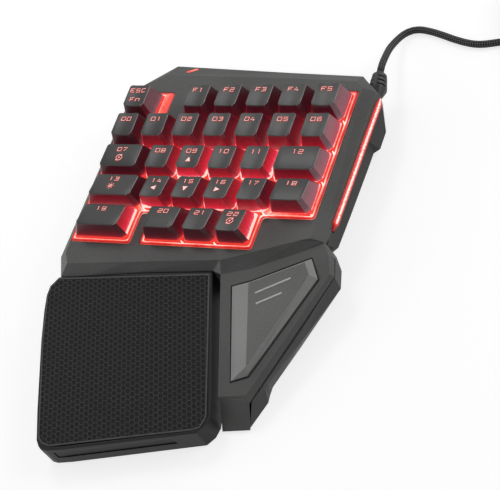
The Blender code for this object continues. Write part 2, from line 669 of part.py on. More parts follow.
def top_cover():
    """Cover of the case with the module's plate and the apron in front of it."""
    lower_edge = column(COVER_STATIONS, 2)
    cover = solid([at_height(lower_edge, COVER_BOTTOM_Z), column(COVER_STATIONS, 1),
                   at_height(column(COVER_STATIONS, 0), 0.0)])
    plate = solid([on_module(column(MODULE_STATIONS, 1), -MODULE_PLATE),
                   on_module(column(MODULE_STATIONS, 0), 0.0)])
    apron = solid([at_height(APRON_BOTTOM, APRON_BOTTOM_Z), on_module(APRON_TOP, -MODULE_PLATE),
                   on_module(offset(APRON_TOP, -COVER_WALL / 2), -MODULE_PLATE / 2)])
    add(cover, plate, apron)
    cut(cover, solid([at_height(offset(lower_edge, -COVER_WALL), COVER_CUT_BOTTOM_Z),
                      at_height(offset(lower_edge, -COVER_WALL), COVER_BOTTOM_Z),
                      at_height(column(COVER_STATIONS, 3), COVER_ROOF_Z)]))
    for centre, top_z in zip(SCREWS, POST_TOPS):
        add(cover, prism(circle(centre, POST_RADIUS), POST_SPLIT_Z, top_z))
    cut(cover, cover_opening(), relief_hole())
    for centre in SCREWS:
        cut(cover, prism(circle(centre, SCREW_RADIUS + TOUCH_GAP), POST_SPLIT_Z - OVERSHOOT,
                         SCREW_TOP_Z + TOUCH_GAP))
    gap_edge = offset(THUMB_EDGE, THUMB_GAP)
    cut(cover, solid([on_module(gap_edge, -OVERSHOOT), on_module(gap_edge, OVERSHOOT)]))
    slot = offset(REAR_LIGHT, TOUCH_GAP)
    cut(cover, prism(slot, REAR_LIGHT_BOTTOM_Z - TOUCH_GAP, OVERSHOOT))
    return finish(cover, "top_cover", "case_plastic")


def base_shell():
    """Lower case with the block under the module, posts, rails and openings."""
    top_edge = column(BASE_STATIONS, 0)
    belt = column(BASE_STATIONS, 1)
    bottom = column(BASE_STATIONS, 2)
    floor_share = (BASE_BELT_Z - BASE_FLOOR_Z) / (BASE_BELT_Z - BASE_BOTTOM_Z)
    base = solid([at_height(bottom, BASE_BOTTOM_Z), at_height(belt, BASE_BELT_Z),
                  at_height(top_edge, BASE_TOP_Z)])
    block_top = column(BLOCK_STATIONS, 0)
    block_belt = column(BLOCK_STATIONS, 1)
    block_bottom = column(BLOCK_STATIONS, 2)
    block_share = (BLOCK_BELT_Z - BASE_FLOOR_Z) / (BLOCK_BELT_Z - BASE_BOTTOM_Z)
    add(base, solid([at_height(block_bottom, BASE_BOTTOM_Z), at_height(block_belt, BLOCK_BELT_Z),
                     on_module(block_top, BLOCK_RAW_LIFT)]))
    floor_edge = offset(blend_outlines(belt, bottom, floor_share), -BASE_WALL)
    cut(base, solid([at_height(floor_edge, BASE_FLOOR_Z),
                     at_height(offset(belt, -BASE_WALL), BASE_BELT_Z),
                     at_height(offset(top_edge, -BASE_WALL), BASE_TOP_Z),
                     at_height(offset(top_edge, -BASE_WALL), 0.0)]))
    inside = [[station[index] for index in BLOCK_INSIDE_INDEXES] for station in
              (block_top, block_belt, blend_outlines(block_belt, block_bottom, block_share))]
    inside_top, inside_belt, inside_floor = [offset(outline, -BLOCK_WALL) for outline in inside]
    cut(base, solid([at_height(inside_floor, BASE_FLOOR_Z), at_height(inside_belt, BLOCK_BELT_Z),
                     on_module(inside_top, OVERSHOOT)]))
    roof = offset(block_top, BLOCK_WALL)
    cut(base, solid([on_module(roof, -MODULE_PLATE - TOUCH_GAP), on_module(roof, 2 * OVERSHOOT)]))

    for centre in BOARD_POSTS:
        add(base, prism(circle(centre, BOARD_POST_RADIUS), BASE_FLOOR_Z - TOUCH_GAP,
                        BOARD_BOTTOM_Z - TOUCH_GAP))
    for centre in SCREWS:
        add(base, prism(circle(centre, POST_RADIUS), BASE_FLOOR_Z - TOUCH_GAP,
                        POST_SPLIT_Z - TOUCH_GAP))
        cut(base, prism(circle(centre, POST_RADIUS + TOUCH_GAP), POST_SPLIT_Z - TOUCH_GAP,
                        OVERSHOOT),
            prism(circle(centre, SCREW_RADIUS + TOUCH_GAP), DESK_Z, 0.0),
            prism(circle(centre, SCREW_HEAD_RADIUS + TOUCH_GAP), DESK_Z, SCREW_SEAT_Z + TOUCH_GAP))
    add(base, prism(circle(THUMB_CENTRE, SWITCH_SIZE / 2), BASE_FLOOR_Z - TOUCH_GAP,
                    switch_bottom() - TOUCH_GAP))
    back = (-REST_SLIDE[0], -REST_SLIDE[1])
    along = Vector(back)
    across = Vector((along.y, -along.x))
    for side in (-1.0, 1.0):
        centre = Vector(TONGUE_ROOT) + across * side * (TONGUE_HALF_WIDTH + TONGUE_PLAY
                                                        + RAIL_WIDTH / 2)
        rail = strip_along(centre, back, RAIL_START, RAIL_START + RAIL_LENGTH, RAIL_WIDTH / 2)
        add(base, prism(rail, BASE_FLOOR_Z - TOUCH_GAP, TONGUE_TOP_Z))
    window = strip_along(TONGUE_ROOT, back, -OVERSHOOT, RAIL_START, TONGUE_HALF_WIDTH + TONGUE_PLAY)
    cut(base, prism(window, BASE_FLOOR_Z, TONGUE_TOP_Z + TONGUE_PLAY))
    for centre in BASE_FEET:
        cut(base, prism(circle(centre, FOOT_RADIUS + TOUCH_GAP), DESK_Z, FOOT_TOP_Z + TOUCH_GAP))
    cut(base, relief_hole(), side_light_notch())
    return finish(base, "base_shell", "base_plastic")


def side_light_outline(depth, reach, margin):
    """Flat outline of the side light: depth inwards, reach outwards, longer by margin."""
    back, front = (Vector(end) for end in SIDE_LIGHT_ENDS)
    run = (back - front).normalized()
    back = back + run * margin
    front = front - run * margin
    outwards = Vector((run.y, -run.x))
    return [tuple(front - outwards * depth), tuple(front + outwards * reach),
            tuple(back + outwards * reach), tuple(back - outwards * depth)]


def side_light_notch():
    """Tool for the ledge of the side light, open outwards and upwards."""
    outline = side_light_outline(SIDE_LIGHT_DEPTH + TOUCH_GAP, OVERSHOOT, TOUCH_GAP)
    return prism(outline, BASE_TOP_Z - SIDE_LIGHT_HEIGHT - TOUCH_GAP, 0.0)


def side_light():
    outline = side_light_outline(SIDE_LIGHT_DEPTH, SIDE_LIGHT_BULGE, 0.0)
    return prism(outline, BASE_TOP_Z - SIDE_LIGHT_HEIGHT, BASE_TOP_Z, "side_light", "red_light")


def rear_light():
    top = [(point[0], point[1], z) for point, z in zip(REAR_LIGHT, REAR_LIGHT_TOPS)]
    return solid([at_height(REAR_LIGHT, REAR_LIGHT_BOTTOM_Z), top], "rear_light", "red_light")


# Thumb key and its switch

def thumb_lift_at_centre(lift):
    return sloped_height(THUMB_CENTRE, MODULE_POINT, MODULE_DOWNHILL, MODULE_SLOPE, lift)


def plunger_lift():
    """Lift of the plunger's end: it fills half of the room that the switch leaves."""
    room = thumb_lift_at_centre(THUMB_LIP_BOTTOM_LIFT) - BASE_FLOOR_Z
    taken = THUMB_TRAVEL + 2 * TOUCH_GAP + SWITCH_BUTTON + SWITCH_HEIGHT
    return THUMB_LIP_BOTTOM_LIFT - (room - taken) / 2


def thumb_ring(radius):
    """Six points round the plunger, in step with the key's own six corners."""
    points = []
    for corner in THUMB_EDGE:
        direction = (Vector(corner) - Vector(THUMB_CENTRE)).normalized()
        points.append(tuple(Vector(THUMB_CENTRE) + direction * radius))
    return points


def thumb_key():
    """Key with bevelled sides, a lip under the plate and a plunger."""
    plunger = thumb_ring(THUMB_PLUNGER_RADIUS)
    lip = offset(THUMB_EDGE, THUMB_LIP)
    skirt = offset(THUMB_EDGE, -TOUCH_GAP)
    return solid([on_module(plunger, plunger_lift()), on_module(plunger, THUMB_LIP_BOTTOM_LIFT),
                  on_module(lip, THUMB_LIP_BOTTOM_LIFT), on_module(lip, THUMB_LIP_TOP_LIFT),
                  on_module(skirt, THUMB_LIP_TOP_LIFT), on_module(THUMB_EDGE, THUMB_EDGE_LIFT),
                  on_module(THUMB_TOP, THUMB_TOP_LIFT)], "thumb_key", "thumb_plastic",
                 (*THUMB_CENTRE, thumb_lift_at_centre(0.0)))


def switch_top():
    return thumb_lift_at_centre(plunger_lift() - THUMB_TRAVEL - 2 * TOUCH_GAP)


def switch_bottom():
    return switch_top() - SWITCH_BUTTON - SWITCH_HEIGHT


def thumb_switch():
    """Square push switch with a round button."""
    half = SWITCH_SIZE / 2
    square = circle(THUMB_CENTRE, half * math.sqrt(2.0), 4)
    button_foot = switch_bottom() + SWITCH_HEIGHT
    switch = prism(square, switch_bottom(), button_foot)
    button = prism(circle(THUMB_CENTRE, SWITCH_BUTTON_RADIUS), button_foot - half / 2, switch_top())
    add(switch, button)
    return finish(switch, "thumb_switch", "base_plastic")


# Palm rest

def palm_rest():
    """Shell of the rest with its pad recess, tongue and grip groove."""
    rest = solid([at_height(REST_OUTLINE, BASE_BOTTOM_Z), on_rest(REST_OUTLINE, 0.0)])
    inside = offset(REST_OUTLINE, -REST_WALL)
    cut(rest, solid([at_height(inside, DESK_Z), on_rest(inside, -REST_ROOF)]))
    recess = offset(PAD_OUTLINE, TOUCH_GAP)
    cut(rest, solid([on_rest(recess, -PAD_RECESS), on_rest(recess, OVERSHOOT)]))
    back = (-REST_SLIDE[0], -REST_SLIDE[1])
    tongue = strip_along(TONGUE_ROOT, back, -TONGUE_BASE, TONGUE_REACH, TONGUE_HALF_WIDTH)
    add(rest, prism(tongue, TONGUE_BOTTOM_Z, TONGUE_TOP_Z))
    start, end = (Vector(point) for point in GROOVE_LINE)
    groove = strip_along(start, end - start, 0.0, (end - start).length, GROOVE_HALF_DEPTH)
    cut(rest, prism(groove, GROOVE_BOTTOM_Z, GROOVE_TOP_Z))
    return finish(rest, "palm_rest", "case_plastic")


def palm_pad():
    return solid([on_rest(PAD_OUTLINE, TOUCH_GAP - PAD_RECESS), on_rest(PAD_OUTLINE, PAD_CROWN)],
                 "palm_pad", "pad_rubber")


def rest_base():
    """Floor plate that closes the palm rest."""
    outline = offset(REST_OUTLINE, -REST_WALL - TOUCH_GAP)
    plate = prism(outline, BASE_BOTTOM_Z, BASE_BOTTOM_Z + REST_PLATE)
    for centre in REST_FEET:
        cut(plate, prism(circle(centre, FOOT_RADIUS + TOUCH_GAP), DESK_Z, FOOT_TOP_Z + TOUCH_GAP))
    return finish(plate, "rest_base", "base_plastic")


# Screws and feet

def screw(number, centre):
    """Pan head screw from below, with its threaded end in the cover's post."""
    head = circle(centre, SCREW_HEAD_RADIUS)
    shank = circle(centre, SCREW_RADIUS)
    head_top = SCREW_SEAT_Z
    return solid([at_height(head, head_top - SCREW_HEAD), at_height(head, head_top),
                  at_height(shank, head_top), at_height(shank, SCREW_TOP_Z)],
                 "screw_%d" % number, "steel")


def foot(number, centre):
    return prism(circle(centre, FOOT_RADIUS), DESK_Z, FOOT_TOP_Z, "foot_%d" % number,
                 "foot_rubber")


# Cable, coil, tie and plug

def cable_route():
    """Points of the free stretch, from the relief's height down onto the desk."""
    relief_z = RELIEF_POINT[2]
    return [(x, y, relief_z + (CABLE_LYING_Z - relief_z) * drop)
            for (x, y), drop in zip(CABLE_ROUTE, CABLE_DROPS)]


def smooth_route(points, step):
    """Points about step apart on a smooth curve through the route's points."""
    route = [Vector(point) for point in points]
    padded = [2 * route[0] - route[1], *route, 2 * route[-1] - route[-2]]
    fine = []
    samples = 20
    for index in range(1, len(padded) - 2):
        before, start, end, after = padded[index - 1:index + 3]
        for sample in range(samples):
            t = sample / samples
            fine.append(0.5 * (2 * start + (end - before) * t
                               + (2 * before - 5 * start + 4 * end - after) * t * t
                               + (3 * start - before - 3 * end + after) * t * t * t))
    fine.append(route[-1])
    lengths = np.cumsum([0.0] + [(b - a).length for a, b in zip(fine, fine[1:])])
    count = max(2, round(lengths[-1] / step) + 1)
    wanted = np.linspace(0.0, lengths[-1], count)
    columns = [np.interp(wanted, lengths, [point[axis] for point in fine]) for axis in range(3)]
    return [Vector(point) for point in zip(*columns)]


def tube(name, points, resolution, material_name):
    """Round tube along a list of points."""
    curve = bpy.data.curves.new(name, "CURVE")
    curve.dimensions = "3D"
    curve.bevel_depth = CABLE_RADIUS
    curve.bevel_resolution = resolution
    curve.use_fill_caps = True
    spline = curve.splines.new("POLY")
    spline.points.add(len(points) - 1)
    for index, point in enumerate(points):
        spline.points[index].co = (*point, 1.0)
    made = bpy.data.objects.new(name, curve)
    made.location = FIELD_CORNER
    made.data.materials.append(material(material_name))
    bpy.context.collection.objects.link(made)
    return made


def coil_layer_z(layer):
    return DESK_Z + COIL_LIFT + CABLE_RADIUS + layer * COIL_PITCH


def coil_outer_radius():
    return COIL_MEAN_RADIUS + COIL_TURNS_PER_LAYER * COIL_PITCH / 2


def coil_top():
    return coil_layer_z(COIL_LAYERS - 1) + CABLE_RADIUS


def plug_axis_z():
    return coil_top() + TOUCH_GAP + PLUG_BODY_SIZE[2] / 2


def smoothstep(share):
    share = min(1.0, max(0.0, share))
    return share * share * (3.0 - 2.0 * share)


def coil_points():
    """Coil wound in layers, spiralling in and out, with a tail that rises to the plug."""
    centre = Vector((*COIL_CENTRE, 0.0))
    outer = coil_outer_radius()
    points = []
    turns = COIL_LAYERS * COIL_TURNS_PER_LAYER
    tail_length = TAIL_RADIUS * math.pi / 2
    rise = plug_axis_z() - coil_layer_z(COIL_LAYERS - 1)
    for index in range(turns * COIL_POINTS_PER_TURN + 1):
        turn = index / COIL_POINTS_PER_TURN
        layer = min(int(turn / COIL_TURNS_PER_LAYER), COIL_LAYERS - 1)
        inwards = turn - layer * COIL_TURNS_PER_LAYER
        if layer % 2:
            inwards = COIL_TURNS_PER_LAYER - inwards
        radius = outer - inwards * COIL_PITCH
        climbed = 0.0
        for edge in range(1, COIL_LAYERS):
            past_edge = turn - edge * COIL_TURNS_PER_LAYER
            climbed += min(1.0, max(0.0, 0.5 + past_edge / COIL_CLIMB_TURNS))
        left = (turns - turn) * math.tau * outer
        lifted = rise * smoothstep((TAIL_RISE_LEAD - left) / (TAIL_RISE_LEAD + tail_length))
        angle = math.tau * turn - math.pi / 2
        points.append(centre + Vector((radius * math.cos(angle), radius * math.sin(angle),
                                       coil_layer_z(0) + climbed * COIL_PITCH + lifted)))
    tail_centre = centre + Vector((0.0, TAIL_RADIUS - outer, 0.0))
    for index in range(1, TAIL_POINTS + 1):
        share = index / TAIL_POINTS
        angle = share * math.pi / 2 - math.pi / 2
        run = TAIL_RISE_LEAD + share * tail_length
        lifted = rise * smoothstep(run / (TAIL_RISE_LEAD + tail_length))
        points.append(tail_centre + Vector((TAIL_RADIUS * math.cos(angle),
                                            TAIL_RADIUS * math.sin(angle),
                                            coil_layer_z(COIL_LAYERS - 1) + lifted)))
    straight = 2 * CABLE_RADIUS
    points.insert(0, points[0] - Vector((straight, 0.0, 0.0)))
    points.append(points[-1] + Vector((0.0, straight, 0.0)))
    return points


def least_self_gap(points):
    """Smallest distance between points of the coil that aren't neighbours, less a diameter."""
    places = np.array(points)
    apart = COIL_POINTS_PER_TURN // 3
    least = min(np.linalg.norm(places[index + apart:] - place, axis=1).min()
                for index, place in enumerate(places[:-apart]))
    return least - 2 * CABLE_RADIUS


def path_length(points):
    return sum((b - a).length for a, b in zip(points, points[1:]))


def coil_tie(name):
    """Flat strap round the turns, on the coil's left side."""
    middle_x = COIL_CENTRE[0] - COIL_MEAN_RADIUS
    half_width = COIL_TURNS_PER_LAYER * COIL_PITCH / 2 - COIL_PITCH / 4 + CABLE_RADIUS + TIE_SLACK
    sections = []
    for grow in (TOUCH_GAP, TOUCH_GAP + TIE_THICKNESS):
        left = middle_x - half_width - grow
        right = middle_x + half_width + grow
        low = coil_layer_z(0) - CABLE_RADIUS - grow
        high = coil_top() + grow
        sections.append([(left, low), (right, low), (right, high), (left, high)])
    inside, outside = sections
    bm = bmesh.new()
    loops = []
    for y in (COIL_CENTRE[1] - TIE_HALF_WIDTH, COIL_CENTRE[1] + TIE_HALF_WIDTH):
        loops.append([add_ring(bm, [(x, y, z) for x, z in section])
                      for section in (inside, outside)])
    (near_in, near_out), (far_in, far_out) = loops
    bridge(bm, near_in, near_out)
    bridge(bm, near_out, far_out)
    bridge(bm, far_out, far_in)
    bridge(bm, far_in, near_in)
    return make_object(name, bm, "cable_braid")


def plug_section(size, y, chamfer):
    """Cross-section of the plug at y: a rectangle with its corners cut off."""
    x = COIL_CENTRE[0] + TAIL_RADIUS
    z = plug_axis_z()
    half_x = size[0] / 2
    half_z = size[2] / 2
    flat = [(half_x - chamfer, -half_z), (half_x, -half_z + chamfer), (half_x, half_z - chamfer),
            (half_x - chamfer, half_z), (-half_x + chamfer, half_z), (-half_x, half_z - chamfer),
            (-half_x, -half_z + chamfer), (-half_x + chamfer, -half_z)]
    return [(x + dx, y, z + dz) for dx, dz in flat]


def plug(start_y):
    """Overmoulded body and the open metal shell of the plug, from start_y towards +Y."""
    body_end = start_y + PLUG_BODY_SIZE[1]
    solid([plug_section(PLUG_BODY_SIZE, start_y, PLUG_CHAMFER),
           plug_section(PLUG_BODY_SIZE, body_end, PLUG_CHAMFER)], "plug_body", "base_plastic")
    shell_start = body_end + TOUCH_GAP
    shell_end = shell_start + PLUG_SHELL_SIZE[1]
    corner = PLUG_SHELL_WALL
    pocket_size = [length - 2 * PLUG_SHELL_WALL for length in PLUG_SHELL_SIZE]
    solid([plug_section(PLUG_SHELL_SIZE, shell_start, corner),
           plug_section(PLUG_SHELL_SIZE, shell_end, corner),
           plug_section(pocket_size, shell_end, corner),
           plug_section(pocket_size, shell_end - PLUG_POCKET, corner)], "plug_shell", "steel")


def build():
    for stale in list(bpy.data.objects):
        bpy.data.objects.remove(stale)
    for cell in key_cells():
        keycap(*cell)
    light_guide()
    guide_plate()
    dome_sheet()
    prism(offset(field_outline(ESC_RIM_X), BOARD_OFFSET), BOARD_BOTTOM_Z, BOARD_TOP_Z,
          "circuit_board", "board")
    top_cover()
    base_shell()
    side_light()
    rear_light()
    thumb_key()
    thumb_switch()
    palm_rest()
    palm_pad()
    rest_base()
    for number, centre in enumerate(SCREWS, 1):
        screw(number, centre)
    for number, centre in enumerate(BASE_FEET + REST_FEET, 1):
        foot(number, centre)
    tube_profile(RELIEF_PROFILE, "strain_relief", "foot_rubber")
    turns = coil_points()
    free_end = turns[0] - Vector((TOUCH_GAP, 0.0, 0.0))
    straight_start = free_end - Vector((2 * CABLE_RADIUS, 0.0, 0.0))
    free = [*smooth_route([*cable_route(), straight_start], CABLE_STEP), free_end]
    tube("cable", free, 2, "cable_braid")
    tube("cable_coil", turns, 1, "cable_braid")
    coil_tie("coil_tie")
    plug(turns[-1].y + TOUCH_GAP)
    print("Least gap of the coil to itself, mm: %.2f" % (least_self_gap(turns) * 1000))
    print("Cable length, mm: %.0f" % ((path_length(free) + path_length(turns)) * 1000))


build()
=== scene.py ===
import math

import bmesh
import bpy
import numpy as np
from mathutils import Matrix, Vector
from mathutils.bvhtree import BVHTree


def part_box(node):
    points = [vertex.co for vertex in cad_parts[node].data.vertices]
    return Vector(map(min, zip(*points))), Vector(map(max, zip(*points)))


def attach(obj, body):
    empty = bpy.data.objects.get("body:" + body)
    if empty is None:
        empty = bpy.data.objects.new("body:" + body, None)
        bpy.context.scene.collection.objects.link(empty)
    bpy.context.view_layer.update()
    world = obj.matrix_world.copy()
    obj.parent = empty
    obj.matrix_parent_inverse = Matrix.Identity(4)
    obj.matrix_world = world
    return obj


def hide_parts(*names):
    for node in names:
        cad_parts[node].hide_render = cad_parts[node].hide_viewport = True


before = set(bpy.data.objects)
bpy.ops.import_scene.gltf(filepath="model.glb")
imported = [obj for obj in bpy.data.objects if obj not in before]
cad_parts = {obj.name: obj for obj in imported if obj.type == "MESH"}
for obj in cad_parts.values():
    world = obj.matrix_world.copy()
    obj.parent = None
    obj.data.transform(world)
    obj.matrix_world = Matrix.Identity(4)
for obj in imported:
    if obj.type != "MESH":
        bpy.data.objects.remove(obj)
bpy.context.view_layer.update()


# Lower case: one dark grey ABS moulding that carries everything else. The block under the
# thumb key is part of it. Its mould was spark eroded, which leaves a fine matt grain.

def mm(values):
    """Turns a number or a nested table of numbers from millimetres into metres."""
    if isinstance(values, (int, float)):
        return values / 1000.0
    return [mm(value) for value in values]


def linear(hex_colour):
    """Turns an sRGB hex value into linear RGBA."""
    channels = [int(hex_colour[start:start + 2], 16) / 255 for start in (1, 3, 5)]
    return (*[c / 12.92 if c <= 0.04045 else ((c + 0.055) / 1.055) ** 2.4 for c in channels], 1.0)


def fill(tree, node, sockets):
    """Sets or links the input sockets of a node."""
    for name, value in sockets.items():
        if isinstance(value, bpy.types.NodeSocket):
            tree.links.new(value, node.inputs[name])
        else:
            node.inputs[name].default_value = value


def add_node(tree, kind, sockets, stops=(), **settings):
    """Adds a node with its settings, its sockets and, on a colour ramp, its stops."""
    node = tree.nodes.new(kind)
    for name, value in settings.items():
        setattr(node, name, value)
    fill(tree, node, sockets)
    for index, (position, hex_colour) in enumerate(stops):
        elements = node.color_ramp.elements
        stop = elements[index] if index < 2 else elements.new(position)
        stop.position = position
        stop.color = linear(hex_colour)
    return node


def start_material(name):
    """Makes a material; returns it, its node tree, its shader and its Object coordinates."""
    material = bpy.data.materials.new(name)
    material.use_nodes = True
    tree = material.node_tree
    place = add_node(tree, "ShaderNodeTexCoord", {}).outputs["Object"]
    return material, tree, tree.nodes["Principled BSDF"], place


def moulded_plastic(name, hollow, peak, roughness, grain=mm(0.75), depth=mm(0.05),
                    edge=mm(0.45), edge_highlight="#7e7e7c", gloss=0.5):
    """ABS from an eroded mould: hollow and peak colours of the grain, edges painted paler as a
    highlight.

    The real grain is about 0.1 mm; it is drawn at 0.75 mm, the finest that shows."""
    material, tree, shader, place = start_material(name)
    speckle = add_node(tree, "ShaderNodeTexNoise",
                       {"Vector": place, "Scale": 1 / grain, "Detail": 2.0}).outputs["Fac"]
    cloud = add_node(tree, "ShaderNodeTexNoise",
                     {"Vector": place, "Scale": 1 / CLOUD_SIZE, "Detail": 1.0}).outputs["Fac"]
    mixed = add_node(tree, "ShaderNodeMath", {0: speckle, 1: cloud}, operation="ADD")
    colour = add_node(tree, "ShaderNodeValToRGB", {"Fac": add_node(
        tree, "ShaderNodeMath", {0: mixed.outputs[0], 1: 0.5}, operation="MULTIPLY").outputs[0]},
        stops=[(0.36, hollow), (0.64, peak)]).outputs["Color"]
    matt = add_node(tree, "ShaderNodeMapRange",
                    {"Value": speckle, "To Min": roughness - MATT_SPREAD,
                     "To Max": roughness + MATT_SPREAD})
    soft_edge = add_node(tree, "ShaderNodeBevel", {"Radius": edge}, samples=4).outputs["Normal"]
    # Painted highlight: the more the rounded normal turns away from the true one at an edge, the
    # paler the colour.
    straight = add_node(tree, "ShaderNodeVectorMath", {
        0: soft_edge, 1: add_node(tree, "ShaderNodeNewGeometry", {}).outputs["Normal"]},
        operation="DOT_PRODUCT").outputs["Value"]
    highlight_share = add_node(tree, "ShaderNodeMapRange", {"Value": straight, "From Min": 0.995,
                                                 "From Max": 0.9, "To Max": 0.6})
    colour = add_node(tree, "ShaderNodeMixRGB", {"Fac": highlight_share.outputs["Result"], "Color1": colour,
                                                 "Color2": linear(edge_highlight)}).outputs["Color"]
    relief = add_node(tree, "ShaderNodeBump", {"Strength": 0.35, "Distance": depth,
                                               "Height": speckle, "Normal": soft_edge})
    fill(tree, shader, {"Base Color": colour, "Roughness": matt.outputs["Result"],
                        "Normal": relief.outputs["Normal"], "IOR": 1.53,
                        "Specular IOR Level": gloss})
    return material


def dress(material, *nodes):
    """Gives CAD nodes that keep their shape a better material."""
    for name in nodes:
        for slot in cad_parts[name].material_slots:
            slot.material = material


CLOUD_SIZE = mm(35.0)
MATT_SPREAD = 0.06
base_plastic = moulded_plastic("eroded_abs_base", "#272727", "#333332", 0.55)
dress(base_plastic, "base_shell")


# Feet of the lower case and of the palm rest: discs of black rubber, glued into round
# recesses. Rubber is matt and picks up dust, so it looks a little uneven.

def soft_rubber(name, low, high, roughness, cell=mm(2.0)):
    """Moulded rubber, matt and slightly cloudy."""
    material, tree, shader, place = start_material(name)
    cloud = add_node(tree, "ShaderNodeTexNoise",
                     {"Vector": place, "Scale": 1 / cell, "Detail": 4.0}).outputs["Fac"]
    colour = add_node(tree, "ShaderNodeValToRGB", {"Fac": cloud}, stops=[(0.3, low), (0.7, high)])
    relief = add_node(tree, "ShaderNodeBump",
                      {"Strength": 0.3, "Distance": mm(0.05), "Height": cloud})
    fill(tree, shader, {"Base Color": colour.outputs["Color"], "Roughness": roughness,
                        "Normal": relief.outputs["Normal"], "IOR": 1.52})
    return material


dress(soft_rubber("foot_rubber_black", "#1a1a1a", "#2a2a29", 0.9),
      *["foot_%d" % number for number in range(1, 7)])


# Circuit board: glass fibre laminate under green solder mask, with copper tracks that show
# as slightly raised, lighter bands. It lies on posts in the lower case.
board_mask, tree, shader, place = start_material("solder_mask_green")
tracks = add_node(tree, "ShaderNodeTexBrick",
                  {"Vector": place, "Scale": 1 / mm(20.0), "Mortar Size": 0.02,
                   "Color1": linear("#14532d"), "Color2": linear("#175a31"),
                   "Mortar": linear("#2c8049")})
fill(tree, shader, {"Base Color": tracks.outputs["Color"], "Roughness": 0.35, "IOR": 1.5,
                    "Normal": add_node(tree, "ShaderNodeBump",
                                       {"Strength": 0.4, "Distance": mm(0.05),
                                        "Height": tracks.outputs["Fac"]}).outputs["Normal"]})
dress(board_mask, "circuit_board")


# Dome sheet and thumb switch: the domes are one sheet of milky silicone rubber, one dome
# under each key, and the switch is a black moulded block soldered under the thumb key.
dress(soft_rubber("silicone_milky", "#b9b9b2", "#cfcfc8", 0.55), "dome_sheet")
dress(moulded_plastic("switch_plastic_black", "#191919", "#242424", 0.45), "thumb_switch")


# Guide plate: a flat plate moulded from black ABS, under the keys. Its round holes keep the
# key stems upright.
dress(moulded_plastic("guide_plastic_black", "#141414", "#1f1f1f", 0.5), "guide_plate")


# Light guide: one clear red acrylic tray under the keys, lit from below by lamps on the
# board. Its rim is a light pipe that comes up level with the deck: red outside, almost
# white along its crown and its inner edge, where the light leaves it.

def merged_copy(node_name, flat_within=4.0):
    """Mesh of a CAD node as a bmesh, its loose triangles joined where flat within degrees."""
    bm = bmesh.new()
    bm.from_mesh(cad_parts[node_name].data)
    bmesh.ops.remove_doubles(bm, verts=bm.verts, dist=mm(0.001))
    bmesh.ops.dissolve_limit(bm, angle_limit=math.radians(flat_within), verts=bm.verts,
                             edges=bm.edges)
    return bm


def new_piece(name, bm, *materials):
    """Links a finished bmesh as an object that sits at the origin."""
    mesh = bpy.data.meshes.new(name)
    bm.to_mesh(mesh)
    bm.free()
    for material in materials:
        mesh.materials.append(material)
    piece = bpy.data.objects.new(name, mesh)
    bpy.context.scene.collection.objects.link(piece)
    return piece


def glowing(name, stops, strength=1.0, pattern=None, wave=mm(1.2), uneven=0.16, gloss=0.5):
    """Lit red acrylic: a glow through the stops, driven by the named face pattern."""
    material, tree, shader, place = start_material(name)
    ripple = add_node(tree, "ShaderNodeTexNoise",
                      {"Vector": place, "Scale": 1 / wave, "Detail": 1.0}).outputs["Fac"]
    if pattern:
        level = add_node(tree, "ShaderNodeAttribute", {}, attribute_name=pattern).outputs["Fac"]
        ripple = add_node(tree, "ShaderNodeMath", {0: ripple, 1: uneven, 2: level},
                          operation="MULTIPLY_ADD").outputs[0]
    glow = add_node(tree, "ShaderNodeValToRGB", {"Fac": ripple}, stops=stops).outputs["Color"]
    fill(tree, shader, {**CLEAR_ACRYLIC, "Specular IOR Level": gloss, "Emission Color": glow,
                        "Emission Strength": strength})
    return material


CLEAR_ACRYLIC = {"Base Color": linear("#140809"), "Roughness": 0.35, "IOR": 1.49}
TRAY_STOPS = [(0.08, "#200406"), (0.38, "#8c1410"), (0.58, "#e0241c"), (0.78, "#ff4a3c"),
              (0.93, "#ff9a88"), (1.08, "#fff0e8")]
tray_red = glowing("acrylic_tray_red", TRAY_STOPS, pattern="glow", wave=mm(2.5))

ROWS = [["key_esc", *["key_f%d" % number for number in range(1, 6)]]]
ROWS += [["key_%02d" % number for number in range(*ends)]
         for ends in ((0, 7), (7, 13), (13, 19), (19, 23))]
KEY_BOXES = {name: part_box(name) for row in ROWS for name in row}
FIELD_CORNER = Vector(mm((-72.95, 93.75, 26.0)))
DECK_Z = FIELD_CORNER.z
PITCH = mm(19.05)
# The height that a unit normal has at least on a face that looks up
UPWARDS = 0.9
RIM_INSET = mm(0.5)
RIM_LIFT = mm(0.12)
RAISED_FROM = mm(2.5)
# Glow of the tray's floor, of its walls and of the raised part of its rim. The rest of the
# rim is bright beside the keys and falls to a dim level away from them.
FLOOR_GLOW = 0.62
WALL_GLOW = 0.7
RAISED_GLOW = 0.66
BRIGHT_GLOW = 0.95
BRIGHT_WIDTH = mm(0.6)
DIM_GLOW = 0.22
GLOW_FALL = 0.4 / mm(1.0)
HOT_SPOT_SHARE = 0.3
# Where light breaks through most: column and row in pitches, and strength
HOT_SPOTS = [(1.0, 2.0, 0.5), (1.5, 3.0, 0.7), (2.5, 3.0, 1.0), (3.5, 3.0, 1.0), (4.5, 3.0, 1.0),
             (5.5, 3.0, 0.9), (1.9, 4.0, 1.2), (5.6, 4.0, 1.2), (3.5, 5.0, 1.0), (4.5, 5.0, 1.0),
             (7.0, 1.0, 1.0), (7.0, 2.0, 1.0), (7.0, 3.0, 1.0), (7.0, 4.0, 0.5)]


def on_field(column, row, height=0.0):
    """Place of a point given in key pitches from the field's back left corner."""
    return FIELD_CORNER + Vector((column * PITCH, -row * PITCH, height))


def hot_spot_glow(place, spread):
    """Extra glow near the places where light breaks through."""
    return sum(strength * math.exp(-((on_field(*spot) - place).to_2d().length / spread) ** 2)
               for *spot, strength in HOT_SPOTS)


def key_distance(point):
    """Distance in plan from a point to the foot of the nearest key."""
    return min(math.hypot(max(low.x - point.x, 0.0, point.x - high.x),
                          max(low.y - point.y, 0.0, point.y - high.y))
               for low, high in KEY_BOXES.values())


